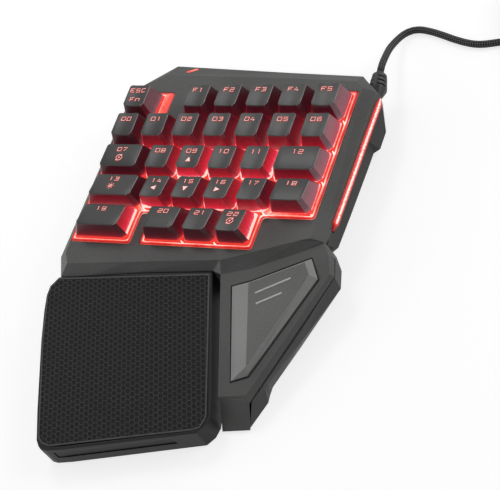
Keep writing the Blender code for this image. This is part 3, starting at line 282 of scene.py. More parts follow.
def planes(axis, places):
    """Planes square to an axis at the given places on it, each as a point and a normal."""
    normal = Vector([float(index == axis) for index in range(3)])
    return [(normal * place, normal) for place in places]


def cut_faces(bm, faces, cuts):
    """Cuts some faces along planes given as a point and a normal."""
    for point, normal in cuts:
        geometry = {*faces, *[edge for face in faces for edge in face.edges],
                    *[vertex for face in faces for vertex in face.verts]}
        cut = bmesh.ops.bisect_plane(bm, geom=list(geometry), plane_co=point, plane_no=normal,
                                     dist=mm(0.001))["geom"]
        faces = [item for item in cut if isinstance(item, bmesh.types.BMFace)]


def tray_glow(place, on_rim):
    """Glow of the tray at a place; on the rim's inner part it falls away from the keys."""
    away = key_distance(place)
    if not on_rim:
        level = FLOOR_GLOW if place.z < DECK_Z - mm(1.0) else WALL_GLOW
    elif place.z > DECK_Z + mm(0.08) and away > RAISED_FROM:
        level = RAISED_GLOW
    else:
        level = max(DIM_GLOW, BRIGHT_GLOW - GLOW_FALL * max(0.0, away - BRIGHT_WIDTH))
    return level + HOT_SPOT_SHARE * hot_spot_glow(place, mm(3.0))


bm = merged_copy("light_guide")
glow_layer = bm.loops.layers.float.new("glow")
crown = [face for face in bm.faces if face.normal.z > UPWARDS
         and face.calc_center_median().z > DECK_Z - mm(0.1)]
bands = bmesh.ops.inset_region(bm, faces=crown, thickness=RIM_INSET, depth=RIM_LIFT,
                               use_even_offset=True, use_boundary=True)["faces"]
cut_faces(bm, [*crown, *bands],
          planes(0, [on_field(number / 3, 0).x for number in range(-1, 23)])
          + planes(1, [on_field(0, number / 3).y for number in range(-1, 17)]))
for face in bm.faces:
    on_rim = face.normal.z > 0.5 and face.calc_center_median().z > DECK_Z - mm(0.2)
    for loop in face.loops:
        loop[glow_layer] = tray_glow(loop.vert.co, on_rim)
light_tray = new_piece("light_tray", bm, tray_red)
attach(light_tray, "case")
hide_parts("light_guide")


# Light posts: small pointed studs of the same acrylic where the corners of the keys meet.
# The lamps sit right below them, so they are the brightest points of the field. They are
# flattened where the gap is narrow, so that a key pressed down goes past them.
POST_RADIUS = mm(1.0)
POST_TIP_RADIUS = mm(0.3)
POST_FOOT_Z = mm(-3.2)
POST_LENGTH = mm(4.2)
POST_CLEARANCE = mm(0.1)
post_white = glowing("acrylic_post_white", [(0.2, "#ffd8cc"), (0.8, "#fff4ee")], strength=1.2)
bm = bmesh.new()
for column, row, level in HOT_SPOTS:
    length = POST_LENGTH + mm(level)
    room = (key_distance(on_field(column, row)) - POST_CLEARANCE) / POST_RADIUS
    post = bmesh.ops.create_cone(bm, cap_ends=True, segments=6, radius1=POST_RADIUS,
                                 radius2=POST_TIP_RADIUS, depth=length)["verts"]
    bmesh.ops.scale(bm, verts=post, vec=(1.0, min(1.0, room), 1.0))
    bmesh.ops.translate(bm, verts=post, vec=on_field(column, row, POST_FOOT_Z + length / 2))
light_posts = new_piece("light_posts", bm, post_white)
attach(light_posts, "case")


# Side light: a half round bar of the same acrylic let into the case's right side. It is
# ribbed inside, so its white core looks beaded; its edges are red and its front end dark.

def smooth(faces):
    """Shades faces smooth."""
    for face in faces:
        face.smooth = True


BAR_ENDS = [FIELD_CORNER + Vector(mm(end)) for end in ((145.1, 1.4, -5.9), (143.5, -80.3, -5.9))]
BAR_RADIUS = mm(1.9)
BAR_STEPS = 40
BAR_SIDES = 16
BAR_FACE = Vector((0.75, 0.0, 0.66))
# Share of its width at the tips, and how fast it reaches the full width from there
BAR_TIP_WIDTH = 0.35
BAR_TIP_TAPER = 14.0
# Glow of its back, what its face adds, and how narrow the bright core is
BAR_BACK_GLOW = 0.14
BAR_FACE_GLOW = 0.64
BAR_FOCUS = 5
BAR_DARK_FROM = 0.97
BAR_DARKENED = 0.3
bar_glow = glowing("acrylic_bar", [(0.1, "#3a0a08"), (0.36, "#8c100c"), (0.6, "#e0281c"),
                                   (0.8, "#ff6a58"), (0.95, "#fff2ec"), (1.2, "#ffffff")],
                   pattern="glow", wave=mm(0.8), uneven=0.45)
bm = bmesh.new()
glow_layer = bm.loops.layers.float.new("glow")
ring = bmesh.ops.create_circle(bm, segments=BAR_SIDES, radius=BAR_RADIUS)["verts"]
along = (BAR_ENDS[1] - BAR_ENDS[0]) / BAR_STEPS
bmesh.ops.rotate(bm, verts=ring, cent=(0, 0, 0),
                 matrix=Vector((0, 0, 1)).rotation_difference(along.normalized()).to_matrix())
bmesh.ops.translate(bm, verts=ring, vec=BAR_ENDS[0])
edges = list({edge for vertex in ring for edge in vertex.link_edges})
bmesh.ops.contextual_create(bm, geom=edges)
for _ in range(BAR_STEPS):
    pulled = bmesh.ops.extrude_edge_only(bm, edges=edges)["geom"]
    edges = [item for item in pulled if isinstance(item, bmesh.types.BMEdge)]
    verts = [item for item in pulled if isinstance(item, bmesh.types.BMVert)]
    bmesh.ops.translate(bm, verts=verts, vec=along)
bmesh.ops.contextual_create(bm, geom=edges)
bmesh.ops.recalc_face_normals(bm, faces=bm.faces)
for vertex in bm.verts:
    share = (BAR_ENDS[0].y - vertex.co.y) / (BAR_ENDS[0].y - BAR_ENDS[1].y)
    axis = BAR_ENDS[0].lerp(BAR_ENDS[1], share)
    facing = max(0.0, (vertex.co - axis).normalized().dot(BAR_FACE))
    taper = min(1.0, BAR_TIP_WIDTH + BAR_TIP_TAPER * min(share, 1.0 - share))
    vertex.co = axis + (vertex.co - axis) * taper
    level = BAR_BACK_GLOW + BAR_FACE_GLOW * facing ** BAR_FOCUS
    if share > BAR_DARK_FROM:
        level *= BAR_DARKENED
    for loop in vertex.link_loops:
        loop[glow_layer] = level
smooth(bm.faces)
light_bar = new_piece("light_bar", bm, bar_glow)
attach(light_bar, "case")
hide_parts("side_light")


# Rear light: a short slanted strip of the same acrylic, let into the cover's back slope. It
# is dark at its foot and brightest just under its upper end.
rear_glow, tree, shader, place = start_material("acrylic_rear_strip")
low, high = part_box("rear_light")
height = add_node(tree, "ShaderNodeSeparateXYZ", {"Vector": place}).outputs["Z"]
share = add_node(tree, "ShaderNodeMapRange", {"Value": height, "From Min": low.z,
                                              "From Max": high.z}).outputs["Result"]
fill(tree, shader, {
    **CLEAR_ACRYLIC,
    "Emission Color": add_node(tree, "ShaderNodeValToRGB", {"Fac": share},
                               stops=[(0.0, "#b81c14"), (0.5, "#f03024"), (0.75, "#ff8878"),
                                      (0.9, "#ff5a4a"), (1.0, "#e02c20")]).outputs["Color"],
    "Emission Strength": 1.2})
dress(rear_glow, "rear_light")


# Keycaps: ABS caps with matt dark tops and tinted see-through skirts. The tray below lights the
# skirts, and that glow is painted: red at the foot, darker towards the top, and a paler pink on
# the right faces beside the rim, where more light falls. The right edges of the tops are painted
# paler, as a highlight. Each cap is a hollow shell on a stem, and its legend is cut through the
# paint; the light through it is painted as a white glow with a red edge.
SKIRT_STOPS = [(0.08, "#12080a"), (0.28, "#390c15"), (0.48, "#74141f"), (0.68, "#a81f2a"),
               (0.86, "#dc2a40"), (0.98, "#f2606a"), (1.08, "#ffdcd2")]
# Painted light: the paler pink glow of skirt faces beside the rim.
PALE_LIT_STOPS = [(0.08, "#2e2426"), (0.28, "#4d3439"), (0.43, "#664249"), (0.58, "#86525a"),
               (0.73, "#a34a58"), (0.88, "#cc4a5a"), (0.98, "#f0606a"), (1.08, "#ffc8be")]
FOOT_Z = DECK_Z + mm(1.3)
CAP_TOP_MIN_Z = DECK_Z + mm(6.0)
CAP_DISH = mm(0.6)
CAP_DISH_DEPTH = mm(1.2)
CAP_ROUND = mm(0.38)
NARROW_CAP = mm(19.0)
# Heights over the foot, and shares of the width and depth, at which the skirt is cut, so
# that its glow can change there
CUT_RISES = mm((0.4, 0.9, 1.6, 2.6, 4.0, 5.6))
CUT_COLUMNS = (0.12, 0.25, 0.38, 0.5, 0.62, 0.75, 0.88)
CUT_ROWS = (0.15, 0.3, 0.5, 0.7, 0.85)
# Material slots of a cap, after the one of its top
SKIRT, PALE_LIT, CORE, HALO, HIGHLIGHT_EDGE = range(1, 6)
# Glow in hundredths of each cap's front face, then of its right face, row by row from the
# Esc row; it depends on where the lamps are
FRONT_GLOWS = ((13, 27, 27, 27, 27, 27), (17, 50, 50, 50, 50, 50, 50), (24, 46, 84, 60, 73, 46),
               (40, 70, 50, 72, 58, 40), (27, 21, 21, 21))
RIGHT_GLOWS = ((15, 15, 15, 15, 15, 15), (16, 28, 28, 34, 28, 38, 28), (14, 60, 80, 54, 85, 60),
               (18, 38, 38, 63, 33, 38), (79, 29, 29, 84))
# Right faces beside the rim, painted a paler pink as more light falls on them there, with their
# glow, and that of their corners
PALE_LIT_SIDES = {"key_esc": 0.36, "key_f5": 0.5, "key_06": 0.58, "key_12": 0.5, "key_18": 0.5}
PALE_LIT_CORNER = 0.28
# How much a tinted skirt and a skirt face painted paler as lit fade up to their tops; then the
# extra glow at a skirt's foot and near a hot spot, and the height over which each dies away
SKIRT_FADE = 0.5
PALE_LIT_FADE = 0.35
FOOT_GLOW = 0.45
FOOT_GLOW_RISE = mm(0.8)
SPOT_GLOW = 0.5
SPOT_GLOW_RISE = mm(3.0)
# Legends are squared strokes on a grid of 4 by 4 steps, given as (x, y) digit pairs
STROKES = {
    "0": ["00 40 44 04 00"], "1": ["14 24 20"], "2": ["04 44 42 02 00 40"],
    "3": ["04 44 40 00", "12 42"], "4": ["24 01 41", "32 30"], "5": ["44 04 02 42 40 00"],
    "6": ["44 04 00 40 42 02"], "7": ["04 44 10"], "8": ["00 40 44 04 00", "02 42"],
    "9": ["00 40 44 04 02 42"], "E": ["44 04 00 40", "02 32"], "S": ["44 04 02 42 40 00"],
    "C": ["44 04 00 40"], "F": ["44 04 00", "02 32"], "N": ["00 03 43 40"],
}
STEP_WIDE = mm(0.57)
STEP_HIGH = mm(0.56)
GLYPH_PITCH = mm(3.5)
# Drop of the number's centre from each row's back edge, and of a second mark's centre
LEGEND_DROPS = mm((3.7, 3.9, 3.6, 3.3, 3.1))
MARK_DROPS = mm((9.7, 9.5, 9.0, 8.2, 7.6))
LEGEND_SHIFT = mm(-0.3)
# Half widths of a stroke's white core and red edge, and how far each stands off the top
CORE_WIDTH = mm(0.14)
CORE_LIFT = mm(0.12)
HALO_WIDTH = mm(0.54)
HALO_LIFT = mm(0.06)
STROKE_FLATTENING = 0.05
ABOVE_ALL = mm(60.0)


def word_lines(word):
    """Stroke lines of a word, centred on the origin."""
    lines = []
    for index, letter in enumerate(word):
        shift = (index - (len(word) - 1) / 2) * GLYPH_PITCH
        for stroke in STROKES[letter]:
            lines.append([(shift + (int(x) - 2) * STEP_WIDE, (int(y) - 2) * STEP_HIGH)
                          for x, y in stroke.split()])
    return lines


def arc_line(radius, first, last, count=10):
    """Line along an arc, from first to last degrees."""
    angles = [math.radians(first + (last - first) * index / count) for index in range(count + 1)]
    return [(radius * math.cos(angle), radius * math.sin(angle)) for angle in angles]


def arrow_lines(turn):
    """Small solid triangle as nested closed lines, turned by quarter turns."""
    lines = []
    for size in mm((1.3, 1.1, 0.9, 0.7, 0.5, 0.3, 0.1)):
        corners = [(size, -size), (0.0, size), (-size, -size), (size, -size), (0.0, size)]
        for _ in range(turn):
            corners = [(-y, x) for x, y in corners]
        lines.append(corners)
    return lines


ROUND_ARROW = [arc_line(mm(1.8), 40, 190), arc_line(mm(1.8), 220, 370),
               arc_line(mm(0.35), 0, 360), mm([(1.0, 2.1), (1.5, 1.1), (0.5, 1.0)]),
               mm([(-1.0, -2.1), (-1.5, -1.1), (-0.5, -1.0)])]
SUN = [arc_line(mm(1.0), 0, 360), arc_line(mm(0.25), 0, 360)]
for number in range(8):
    direction = Vector((math.cos(math.tau * number / 8), math.sin(math.tau * number / 8)))
    SUN.append([tuple(direction * mm(1.8)), tuple(direction * mm(2.15))])
MARKS = {"key_esc": word_lines("FN"), "key_07": ROUND_ARROW, "key_22": ROUND_ARROW,
         "key_13": SUN, "key_09": arrow_lines(0), "key_14": arrow_lines(1),
         "key_15": arrow_lines(2), "key_16": arrow_lines(3)}


def stroke_mesh(lines, radius):
    """Thin rounded strokes along flat lines, as a mesh."""
    curve = bpy.data.curves.new("strokes", "CURVE")
    curve.dimensions = "3D"
    curve.bevel_depth = radius
    curve.bevel_resolution = 0
    curve.use_fill_caps = True
    for line in lines:
        spline = curve.splines.new("POLY")
        spline.points.add(len(line) - 1)
        for point, (x, y) in zip(spline.points, line):
            point.co = (x, y, 0.0, 1.0)
    holder = bpy.data.objects.new("strokes", curve)
    mesh = bpy.data.meshes.new_from_object(holder)
    bpy.data.objects.remove(holder)
    return mesh


def lay_strokes(bm, surface, lines, radius, centre, lift, material_index):
    """Adds strokes to a key, pressed flat onto its top."""
    mesh = stroke_mesh(lines, radius)
    strokes = bmesh.new()
    strokes.from_mesh(mesh)
    for vertex in strokes.verts:
        place = Vector((centre[0] + vertex.co.x, centre[1] + vertex.co.y, ABOVE_ALL))
        height = surface.ray_cast(place, Vector((0.0, 0.0, -1.0)))[0].z
        vertex.co = (place.x, place.y, height + lift + vertex.co.z * STROKE_FLATTENING)
    for face in strokes.faces:
        face.material_index = material_index
    strokes.to_mesh(mesh)
    strokes.free()
    bm.from_mesh(mesh)
    bpy.data.meshes.remove(mesh)


def is_wall(face, middle):
    """True for the outer faces of a cap's skirt."""
    outwards = (face.calc_center_median() - middle).to_2d().dot(face.normal.to_2d()) > 0
    return outwards and abs(face.normal.z) < 0.75 and all(
        vertex.co.z > FOOT_Z - mm(0.05) for vertex in face.verts)


def wall_level(name, front, right, normal):
    """Glow of a wall that faces along normal, from those of the front and right face."""
    if normal.y < -0.85:
        return front
    if normal.x > 0.85:
        return PALE_LIT_SIDES.get(name, right)
    if normal.x > 0.0 and normal.y < 0.0:
        return PALE_LIT_CORNER if name in PALE_LIT_SIDES else 0.8 * min(front, right + 0.2)
    if normal.y < 0.0:
        return front + 0.35 if front > 0.4 else front + 0.1
    return right


def wall_glow(place, level, top_z, pale_lit):
    """Glow from 0 to 1 at a place on a wall of the given level."""
    rise = max(0.0, place.z - FOOT_Z)
    fade = PALE_LIT_FADE if pale_lit else SKIRT_FADE
    glow = level * (1.1 - fade * rise / (top_z - FOOT_Z))
    glow += FOOT_GLOW * math.exp(-rise / FOOT_GLOW_RISE)
    glow += SPOT_GLOW * hot_spot_glow(place, mm(2.8)) * math.exp(-rise / SPOT_GLOW_RISE)
    return min(1.0, glow)


def flat_top(bm):
    """Replaces a cap's top by one flat face with straight sides; returns that face."""
    tops = [face for face in bm.faces
            if face.normal.z > 0.8 and face.calc_center_median().z > CAP_TOP_MIN_Z]
    bmesh.ops.delete(bm, geom=tops, context="FACES")
    dips = []
    for vertex in bm.verts:
        lips = [edge for edge in vertex.link_edges if edge.is_boundary]
        if len(lips) == 2:
            ends = [edge.other_vert(vertex).co for edge in lips]
            if (ends[0] - vertex.co).to_2d().angle((vertex.co - ends[1]).to_2d()) < 0.1:
                vertex.co.z = (ends[0].z + ends[1].z) / 2
                dips.append(vertex)
    bmesh.ops.dissolve_verts(bm, verts=dips)
    rim = [edge for edge in bm.edges if edge.is_boundary]
    top = bmesh.ops.contextual_create(bm, geom=rim)["faces"][0]
    if top.normal.z < 0:
        top.normal_flip()
    return top


def rounded(bm, edges, radius, segments=3):
    """Rounds edges with a bevel; returns its faces."""
    return bmesh.ops.bevel(bm, geom=edges, offset=radius, segments=segments, profile=0.5,
                           affect="EDGES", material=-1)["faces"]


def round_cap(bm, top, middle):
    """Rounds a cap's outer edges; those on its right are painted paler, as a highlight."""
    shown = {top, *[face for face in bm.faces if is_wall(face, middle)]}
    sharp = [edge for edge in bm.edges if len(edge.link_faces) == 2
             and all(face in shown for face in edge.link_faces)
             and edge.calc_face_angle() > math.radians(15.0)]
    edge_faces = rounded(bm, sharp, CAP_ROUND)
    smooth(edge_faces)
    for face in edge_faces:
        if face.normal.x > 0.3 and face.normal.z > 0.45 and face.normal.y < 0.3:
            face.material_index = HIGHLIGHT_EDGE


def light_skirt(bm, glow_layer, name, front, right, low, high):
    """Gives a cap's skirt its material, cuts it up and stores its glow in each corner."""
    for face in bm.faces:
        if face.material_index != HIGHLIGHT_EDGE and is_wall(face, (low + high) / 2):
            # Right faces beside the rim take the paler painted light.
            pale_lit = name in PALE_LIT_SIDES and (face.normal.x > 0.85 or name != "key_esc"
                                             and face.normal.x > 0.3 and face.normal.y < -0.3)
            face.material_index = PALE_LIT if pale_lit else SKIRT
    size = high - low
    cut_faces(bm, [*bm.faces], planes(0, [low.x + size.x * share for share in CUT_COLUMNS]))
    cut_faces(bm, [face for face in bm.faces if face.material_index in (SKIRT, PALE_LIT)],
              planes(2, [FOOT_Z + rise for rise in CUT_RISES])
              + planes(1, [low.y + size.y * share for share in CUT_ROWS]))
    for face in bm.faces:
        if face.material_index in (SKIRT, PALE_LIT):
            level = wall_level(name, front, right, face.normal)
            for loop in face.loops:
                loop[glow_layer] = wall_glow(loop.vert.co, level, high.z,
                                             face.material_index == PALE_LIT)


def dish_top(bm, place, normal, left_x, right_x):
    """Lowers the middle of a cap's top, which lies in the plane given by place and normal."""
    for vertex in bm.verts:
        plane_z = place.z - (normal.x * (vertex.co.x - place.x)
                             + normal.y * (vertex.co.y - place.y)) / normal.z
        held = min(1.0, max(0.0, 1.0 - (plane_z - vertex.co.z) / CAP_DISH_DEPTH))
        off_middle = min(1.0, abs(vertex.co.x - (left_x + right_x) / 2) * 2 / (right_x - left_x))
        vertex.co.z -= CAP_DISH * (1.0 - off_middle ** 2) * held


cap_top = moulded_plastic("abs_cap_matt", "#2d2d2c", "#373736", 0.38, grain=mm(0.5),
                          depth=mm(0.02), edge=mm(0.2), edge_highlight="#565654")
# Painted highlight for the rounded right edges of the cap tops.
cap_edge_painted_highlight = moulded_plastic("abs_cap_edge_painted_highlight", "#948a8c", "#a89ea0", 0.4, grain=mm(0.5),
                           depth=mm(0.02), edge=mm(0.2))
cap_skirt = glowing("abs_skirt_tinted", SKIRT_STOPS, pattern="glow", wave=mm(1.5))
cap_skirt_pale_lit = glowing("abs_skirt_painted_pale_light", PALE_LIT_STOPS, pattern="glow", wave=mm(1.5))
# The legends' glow is painted: white along each stroke, red at its edge.
legend_core = glowing("legend_white", [(0.2, "#ffe6de"), (0.8, "#fff2ec")], gloss=0.0)
legend_halo = glowing("legend_halo_red", [(0.2, "#ac1f19"), (0.8, "#c42c23")], gloss=0.0)

for row_number, row in enumerate(ROWS):
    for name, front, right in zip(row, FRONT_GLOWS[row_number], RIGHT_GLOWS[row_number]):
        low, high = KEY_BOXES[name]
        bm = merged_copy(name, 9.0)
        glow_layer = bm.loops.layers.float.new("glow")
        top = flat_top(bm)
        top_place = top.calc_center_median()
        top_normal = top.normal.copy()
        across = [vertex.co.x for vertex in top.verts]
        back_y = max(vertex.co.y for vertex in top.verts)
        round_cap(bm, top, (low + high) / 2)
        light_skirt(bm, glow_layer, name, front / 100, right / 100, low, high)
        if high.x - low.x < NARROW_CAP:
            dish_top(bm, top_place, top_normal, min(across), max(across))
        smooth([face for face in bm.faces
                if face.normal.z > UPWARDS and face.calc_center_median().z > CAP_TOP_MIN_Z])
        surface = BVHTree.FromBMesh(bm)
        centre_x = (low.x + high.x) / 2 + LEGEND_SHIFT
        drawings = [(word_lines(name[4:].upper()), back_y - LEGEND_DROPS[row_number])]
        if name in MARKS:
            drawings.append((MARKS[name], back_y - MARK_DROPS[row_number]))
        for lines, y in drawings:
            lay_strokes(bm, surface, lines, HALO_WIDTH, (centre_x, y), HALO_LIFT, HALO)
            lay_strokes(bm, surface, lines, CORE_WIDTH, (centre_x, y), CORE_LIFT, CORE)
        cap = new_piece("cap_" + name[4:], bm, cap_top, cap_skirt, cap_skirt_pale_lit, legend_core,
                        legend_halo, cap_edge_painted_highlight)
        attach(cap, name + "_cap")
        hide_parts(name)


# Top cover: one ABS moulding in a lighter grey than the lower case, with the same eroded
# grain. It clips round the light guide's rim and is held by five screws from below.
# The apron in front of the thumb key widens at its foot, to meet the lower case there.
APRON_FOOT = {(111.6, -184.0): (110.7, -183.7), (111.8, -176.4): (110.6, -176.4),
              (123.0, -181.6): (125.0, -181.3)}
APRON_FOOT_Z = -24.7
cover_plastic = moulded_plastic("eroded_abs_cover", "#4b4b4a", "#5d5d5c", 0.55)
bm = merged_copy("top_cover", 1.0)
for vertex in bm.verts:
    for corner, wider in APRON_FOOT.items():
        foot = FIELD_CORNER + Vector(mm((*corner, APRON_FOOT_Z)))
        if (vertex.co - foot).length < mm(0.5):
            vertex.co = FIELD_CORNER + Vector(mm((*wider, APRON_FOOT_Z)))
cover_shell = new_piece("cover_shell", bm, cover_plastic)
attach(cover_shell, "case")
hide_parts("top_cover")


# Screws: zinc plated steel with pan heads, driven in from below. Fine scratches leave the
# plating a little uneven in shade and shine.
screw_steel, tree, shader, place = start_material("zinc_plated_steel")
scratches = add_node(tree, "ShaderNodeTexNoise",
                     {"Vector": place, "Scale": 1 / mm(0.3), "Detail": 3.0}).outputs["Fac"]
fill(tree, shader, {
    "Base Color": add_node(tree, "ShaderNodeValToRGB", {"Fac": scratches},
                           stops=[(0.3, "#8f9193"), (0.7, "#b6b8ba")]).outputs["Color"],
    "Metallic": 1.0,
    "Roughness": add_node(tree, "ShaderNodeMapRange", {"Value": scratches, "To Min": 0.25,
                                                       "To Max": 0.45}).outputs["Result"]})
dress(screw_steel, *["screw_%d" % number for number in range(1, 6)])


# Thumb key: a lighter grey ABS key with a broad facet on its left and narrower ones round it,
# finer in grain than the cover. Its facets are painted paler than its top, as the side light
# falls on them. Two plain bars of paler paint are printed on its top.
MODULE_POINT = FIELD_CORNER + Vector(mm((92.0, -108.8, -4.0)))
MODULE_SLOPE = 0.121
# The module and the palm rest both fall this way, to the front
DOWNHILL = Vector((0.342, -0.9397))
THUMB_LOW = mm(0.5)
THUMB_HIGH = mm(2.6)
# Corners of the raised top, anticlockwise from the back left, with their height
THUMB_CORNERS = [((102.4, -116.4), THUMB_LOW), ((114.4, -158.0), THUMB_LOW),
                 ((121.3, -156.6), THUMB_HIGH), ((140.3, -107.4), THUMB_HIGH),
                 ((136.5, -101.2), THUMB_HIGH), ((110.1, -114.4), THUMB_HIGH)]
THUMB_BARS = [[(115.2, -119.5), (131.5, -110.2)], [(117.2, -125.0), (129.0, -118.2)]]
THUMB_BAR_WIDTH = mm(0.7)
THUMB_BAR_LIFT = mm(0.02)
THUMB_ROUND = mm(0.25)
# Material slots of the thumb key, after the one of its top
PAINT, FACET = 1, 2


def slope_z(place, known, slope):
    """Height at a place in plan of a top that falls DOWNHILL and goes through known."""
    return known.z - slope * (place - known.to_2d()).dot(DOWNHILL)


def on_module(point, lift):
    """Place on the module's sloping top, from field millimetres, raised by lift."""
    place = FIELD_CORNER.to_2d() + Vector(mm(point))
    return Vector((*place, slope_z(place, MODULE_POINT, MODULE_SLOPE) + lift))


thumb_facet_painted_light = moulded_plastic("abs_thumb_facet_painted_light", "#8c8c8b", "#9e9e9d", 0.6, grain=mm(0.6),
                              depth=mm(0.03), edge=mm(0.3), edge_highlight="#b0b0ae")
thumb_plastic = moulded_plastic("abs_thumb_satin", "#6e6e6d", "#80807f", 0.6, grain=mm(0.6),
                                depth=mm(0.03), edge=mm(0.3), edge_highlight="#a6a6a4", gloss=0.2)
thumb_paint = moulded_plastic("paint_pale_grey", "#c4c4c3", "#d2d2d1", 0.5, grain=mm(0.6),
                              depth=mm(0.02), edge=mm(0.1))
bm = merged_copy("thumb_key", 1.0)
top = max((face for face in bm.faces if face.normal.z > UPWARDS),
          key=lambda face: face.calc_area())
moved = {}
for target, lift in THUMB_CORNERS:
    place = on_module(target, lift)
    nearest = min((vertex for vertex in top.verts if vertex not in moved),
                  key=lambda vertex: (vertex.co - place).to_2d().length)
    moved[nearest] = place
for vertex, place in moved.items():
    vertex.co = place
by_place = list(moved)
high_places = list(moved.values())[2:]
bmesh.ops.connect_verts(bm, verts=[by_place[5], by_place[2]])
# Painted light: every sloping face but the high top takes the paler facet material.
for face in bm.faces:
    if face.normal.z > 0.2 and not all(vertex in moved and moved[vertex] in high_places
                                       for vertex in face.verts):
        face.material_index = FACET
ridge = [edge for edge in bm.edges if len(edge.link_faces) == 2
         and all(face.normal.z > 0.2 for face in edge.link_faces)
         and edge.calc_face_angle() > math.radians(4.0)]
smooth(rounded(bm, ridge, THUMB_ROUND))
surface = BVHTree.FromBMesh(bm)
for bar in THUMB_BARS:
    lay_strokes(bm, surface, [[tuple(on_module(end, 0.0).to_2d()) for end in bar]],
                THUMB_BAR_WIDTH, (0.0, 0.0), THUMB_BAR_LIFT, PAINT)
thumb_pad = new_piece("thumb_pad", bm, thumb_plastic, thumb_paint, thumb_facet_painted_light)
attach(thumb_pad, "thumb")
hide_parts("thumb_key")


# Palm rest: its shell is the same ABS as the cover, only darker, with a slightly rounded
# rim round the pad, and slides on a tongue. The floor plate under it is black.
REST_POINT = FIELD_CORNER + Vector(mm((80.0, -107.0, -4.5)))
REST_SLOPE = 0.09
REST_RIM_ROUND = mm(0.45)
REST_RIM_DEPTH = mm(1.0)
rest_plastic = moulded_plastic("eroded_abs_rest", "#141413", "#1e1e1d", 0.5, gloss=0.3)
bm = merged_copy("palm_rest", 1.0)
pad_low, pad_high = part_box("palm_pad")
rim = []
for edge in bm.edges:
    if len(edge.link_faces) == 2 and edge.is_convex:
        upper, lower = sorted(edge.link_faces, key=lambda face: -face.normal.z)
        drops = [slope_z(vertex.co.to_2d(), REST_POINT, REST_SLOPE) - vertex.co.z
                 for vertex in edge.verts]
        outwards = lower.calc_center_median() - (pad_low + pad_high) / 2
        outer = lower.normal.to_2d().dot(outwards.to_2d()) > 0
        if (upper.normal.z > UPWARDS and lower.normal.z < 0.5 and outer
                and max(drops) < REST_RIM_DEPTH):
            rim.append(edge)
smooth(rounded(bm, rim, REST_RIM_ROUND, 4))
rest_shell = new_piece("rest_shell", bm, rest_plastic)
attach(rest_shell, "rest")
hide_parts("palm_rest")
dress(base_plastic, "rest_base")

# Grip strip: a strip of the same ABS at the bottom of the groove in the rest's front, where
# fingers pull the rest out. Its edges are rounded.
GROOVE_ENDS = [FIELD_CORNER + Vector(mm(end)) for end in ((30.4, -210.3, -17.25),
                                                          (92.1, -194.8, -17.25))]
GRIP_HIGH = mm(5.5)
GRIP_FROM = mm(-1.4)
GRIP_TO = mm(-0.55)
GRIP_ROUND = mm(0.25)
bm = bmesh.new()
along = GROOVE_ENDS[1] - GROOVE_ENDS[0]
outwards = along.normalized().cross(Vector((0.0, 0.0, 1.0)))
middle = GROOVE_ENDS[0].lerp(GROOVE_ENDS[1], 0.5)
for vertex in bmesh.ops.create_cube(bm, size=1.0)["verts"]:
    depth = GRIP_TO if vertex.co.y > 0 else GRIP_FROM
    vertex.co = (middle + along * vertex.co.x + outwards * depth
                 + Vector((0.0, 0.0, GRIP_HIGH * vertex.co.z)))
bmesh.ops.recalc_face_normals(bm, faces=bm.faces)
rounded(bm, bm.edges[:], GRIP_ROUND)
grip_strip = new_piece("grip_strip", bm, rest_plastic)
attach(grip_strip, "rest")


# Palm pad: black rubber moulded with a honeycomb of small pits, glued into the recess of the
# rest. The pits are painted near black, as shade, and the ridges between them are lighter; the
# smooth border round the pad is painted paler, as a highlight.
PIT_STEP_A = Vector(mm((2.09, 1.57)))
PIT_STEP_B = Vector(mm((3.05, -1.26)))
PIT_DEPTH = mm(0.35)
PIT_WIDTH = 0.86
PIT_FLOOR_WIDTH = 0.8
PIT_FLOOR_DEPTH = 0.85 * PIT_DEPTH
PIT_COUNT = 80
PAD_TOP_LIFT = mm(0.3)
PAD_BORDER = mm(0.8)
# How far past the pad's sides and corners pits are laid, before they are cut off there
SIDE_OVERLAP = mm(2.6)
CORNER_OVERLAP = mm(3.0)
# Material slots of the pad
RIDGE, PIT, BORDER = range(3)
# Painted shade in the pits and a painted highlight on the border.
ridge_rubber = soft_rubber("rubber_ridge_top", "#212120", "#30302f", 0.6, cell=mm(6.0))
pit_rubber_painted_shade = soft_rubber("rubber_pit_painted_shade", "#090909", "#0f0f0e", 0.8)
border_rubber_painted_highlight = soft_rubber("rubber_border_painted_highlight", "#434342", "#4f4f4e", 0.5, cell=mm(6.0))

slab = merged_copy("palm_pad")
slab_top = max(slab.faces, key=lambda face: face.normal.z * face.calc_area())
for face in slab.faces:
    face.material_index = BORDER
bmesh.ops.inset_region(slab, faces=[slab_top], thickness=PAD_BORDER, depth=0.0,
                       use_even_offset=True, use_boundary=True)
outline = [vertex.co.copy() for vertex in slab_top.verts]
outline_centre = sum(outline, Vector()) / len(outline)
slab_top.material_index = PIT
bmesh.ops.inset_region(slab, faces=[slab_top], thickness=mm(0.02), depth=-PIT_DEPTH)
corners = [(PIT_STEP_A + PIT_STEP_B) / 3, (2 * PIT_STEP_B - PIT_STEP_A) / 3,
           (PIT_STEP_B - 2 * PIT_STEP_A) / 3]
cell = bmesh.new()
ring = [cell.verts.new((corner.x, corner.y, 0.0)) for corner in
        [*corners, *[-corner for corner in corners]]]
face = cell.faces.new(ring)
if face.normal.z < 0:
    face.normal_flip()
for slot, width, depth in ((RIDGE, PIT_WIDTH, 0.0), (PIT, PIT_FLOOR_WIDTH, PIT_FLOOR_DEPTH)):
    for wall in bmesh.ops.inset_individual(cell, faces=[face], thickness=0.0)["faces"]:
        wall.material_index = slot
    for vertex in face.verts:
        vertex.co = (vertex.co.x * width, vertex.co.y * width, -depth)
face.material_index = PIT
cell_mesh = bpy.data.meshes.new("pit")
cell.to_mesh(cell_mesh)
cell.free()

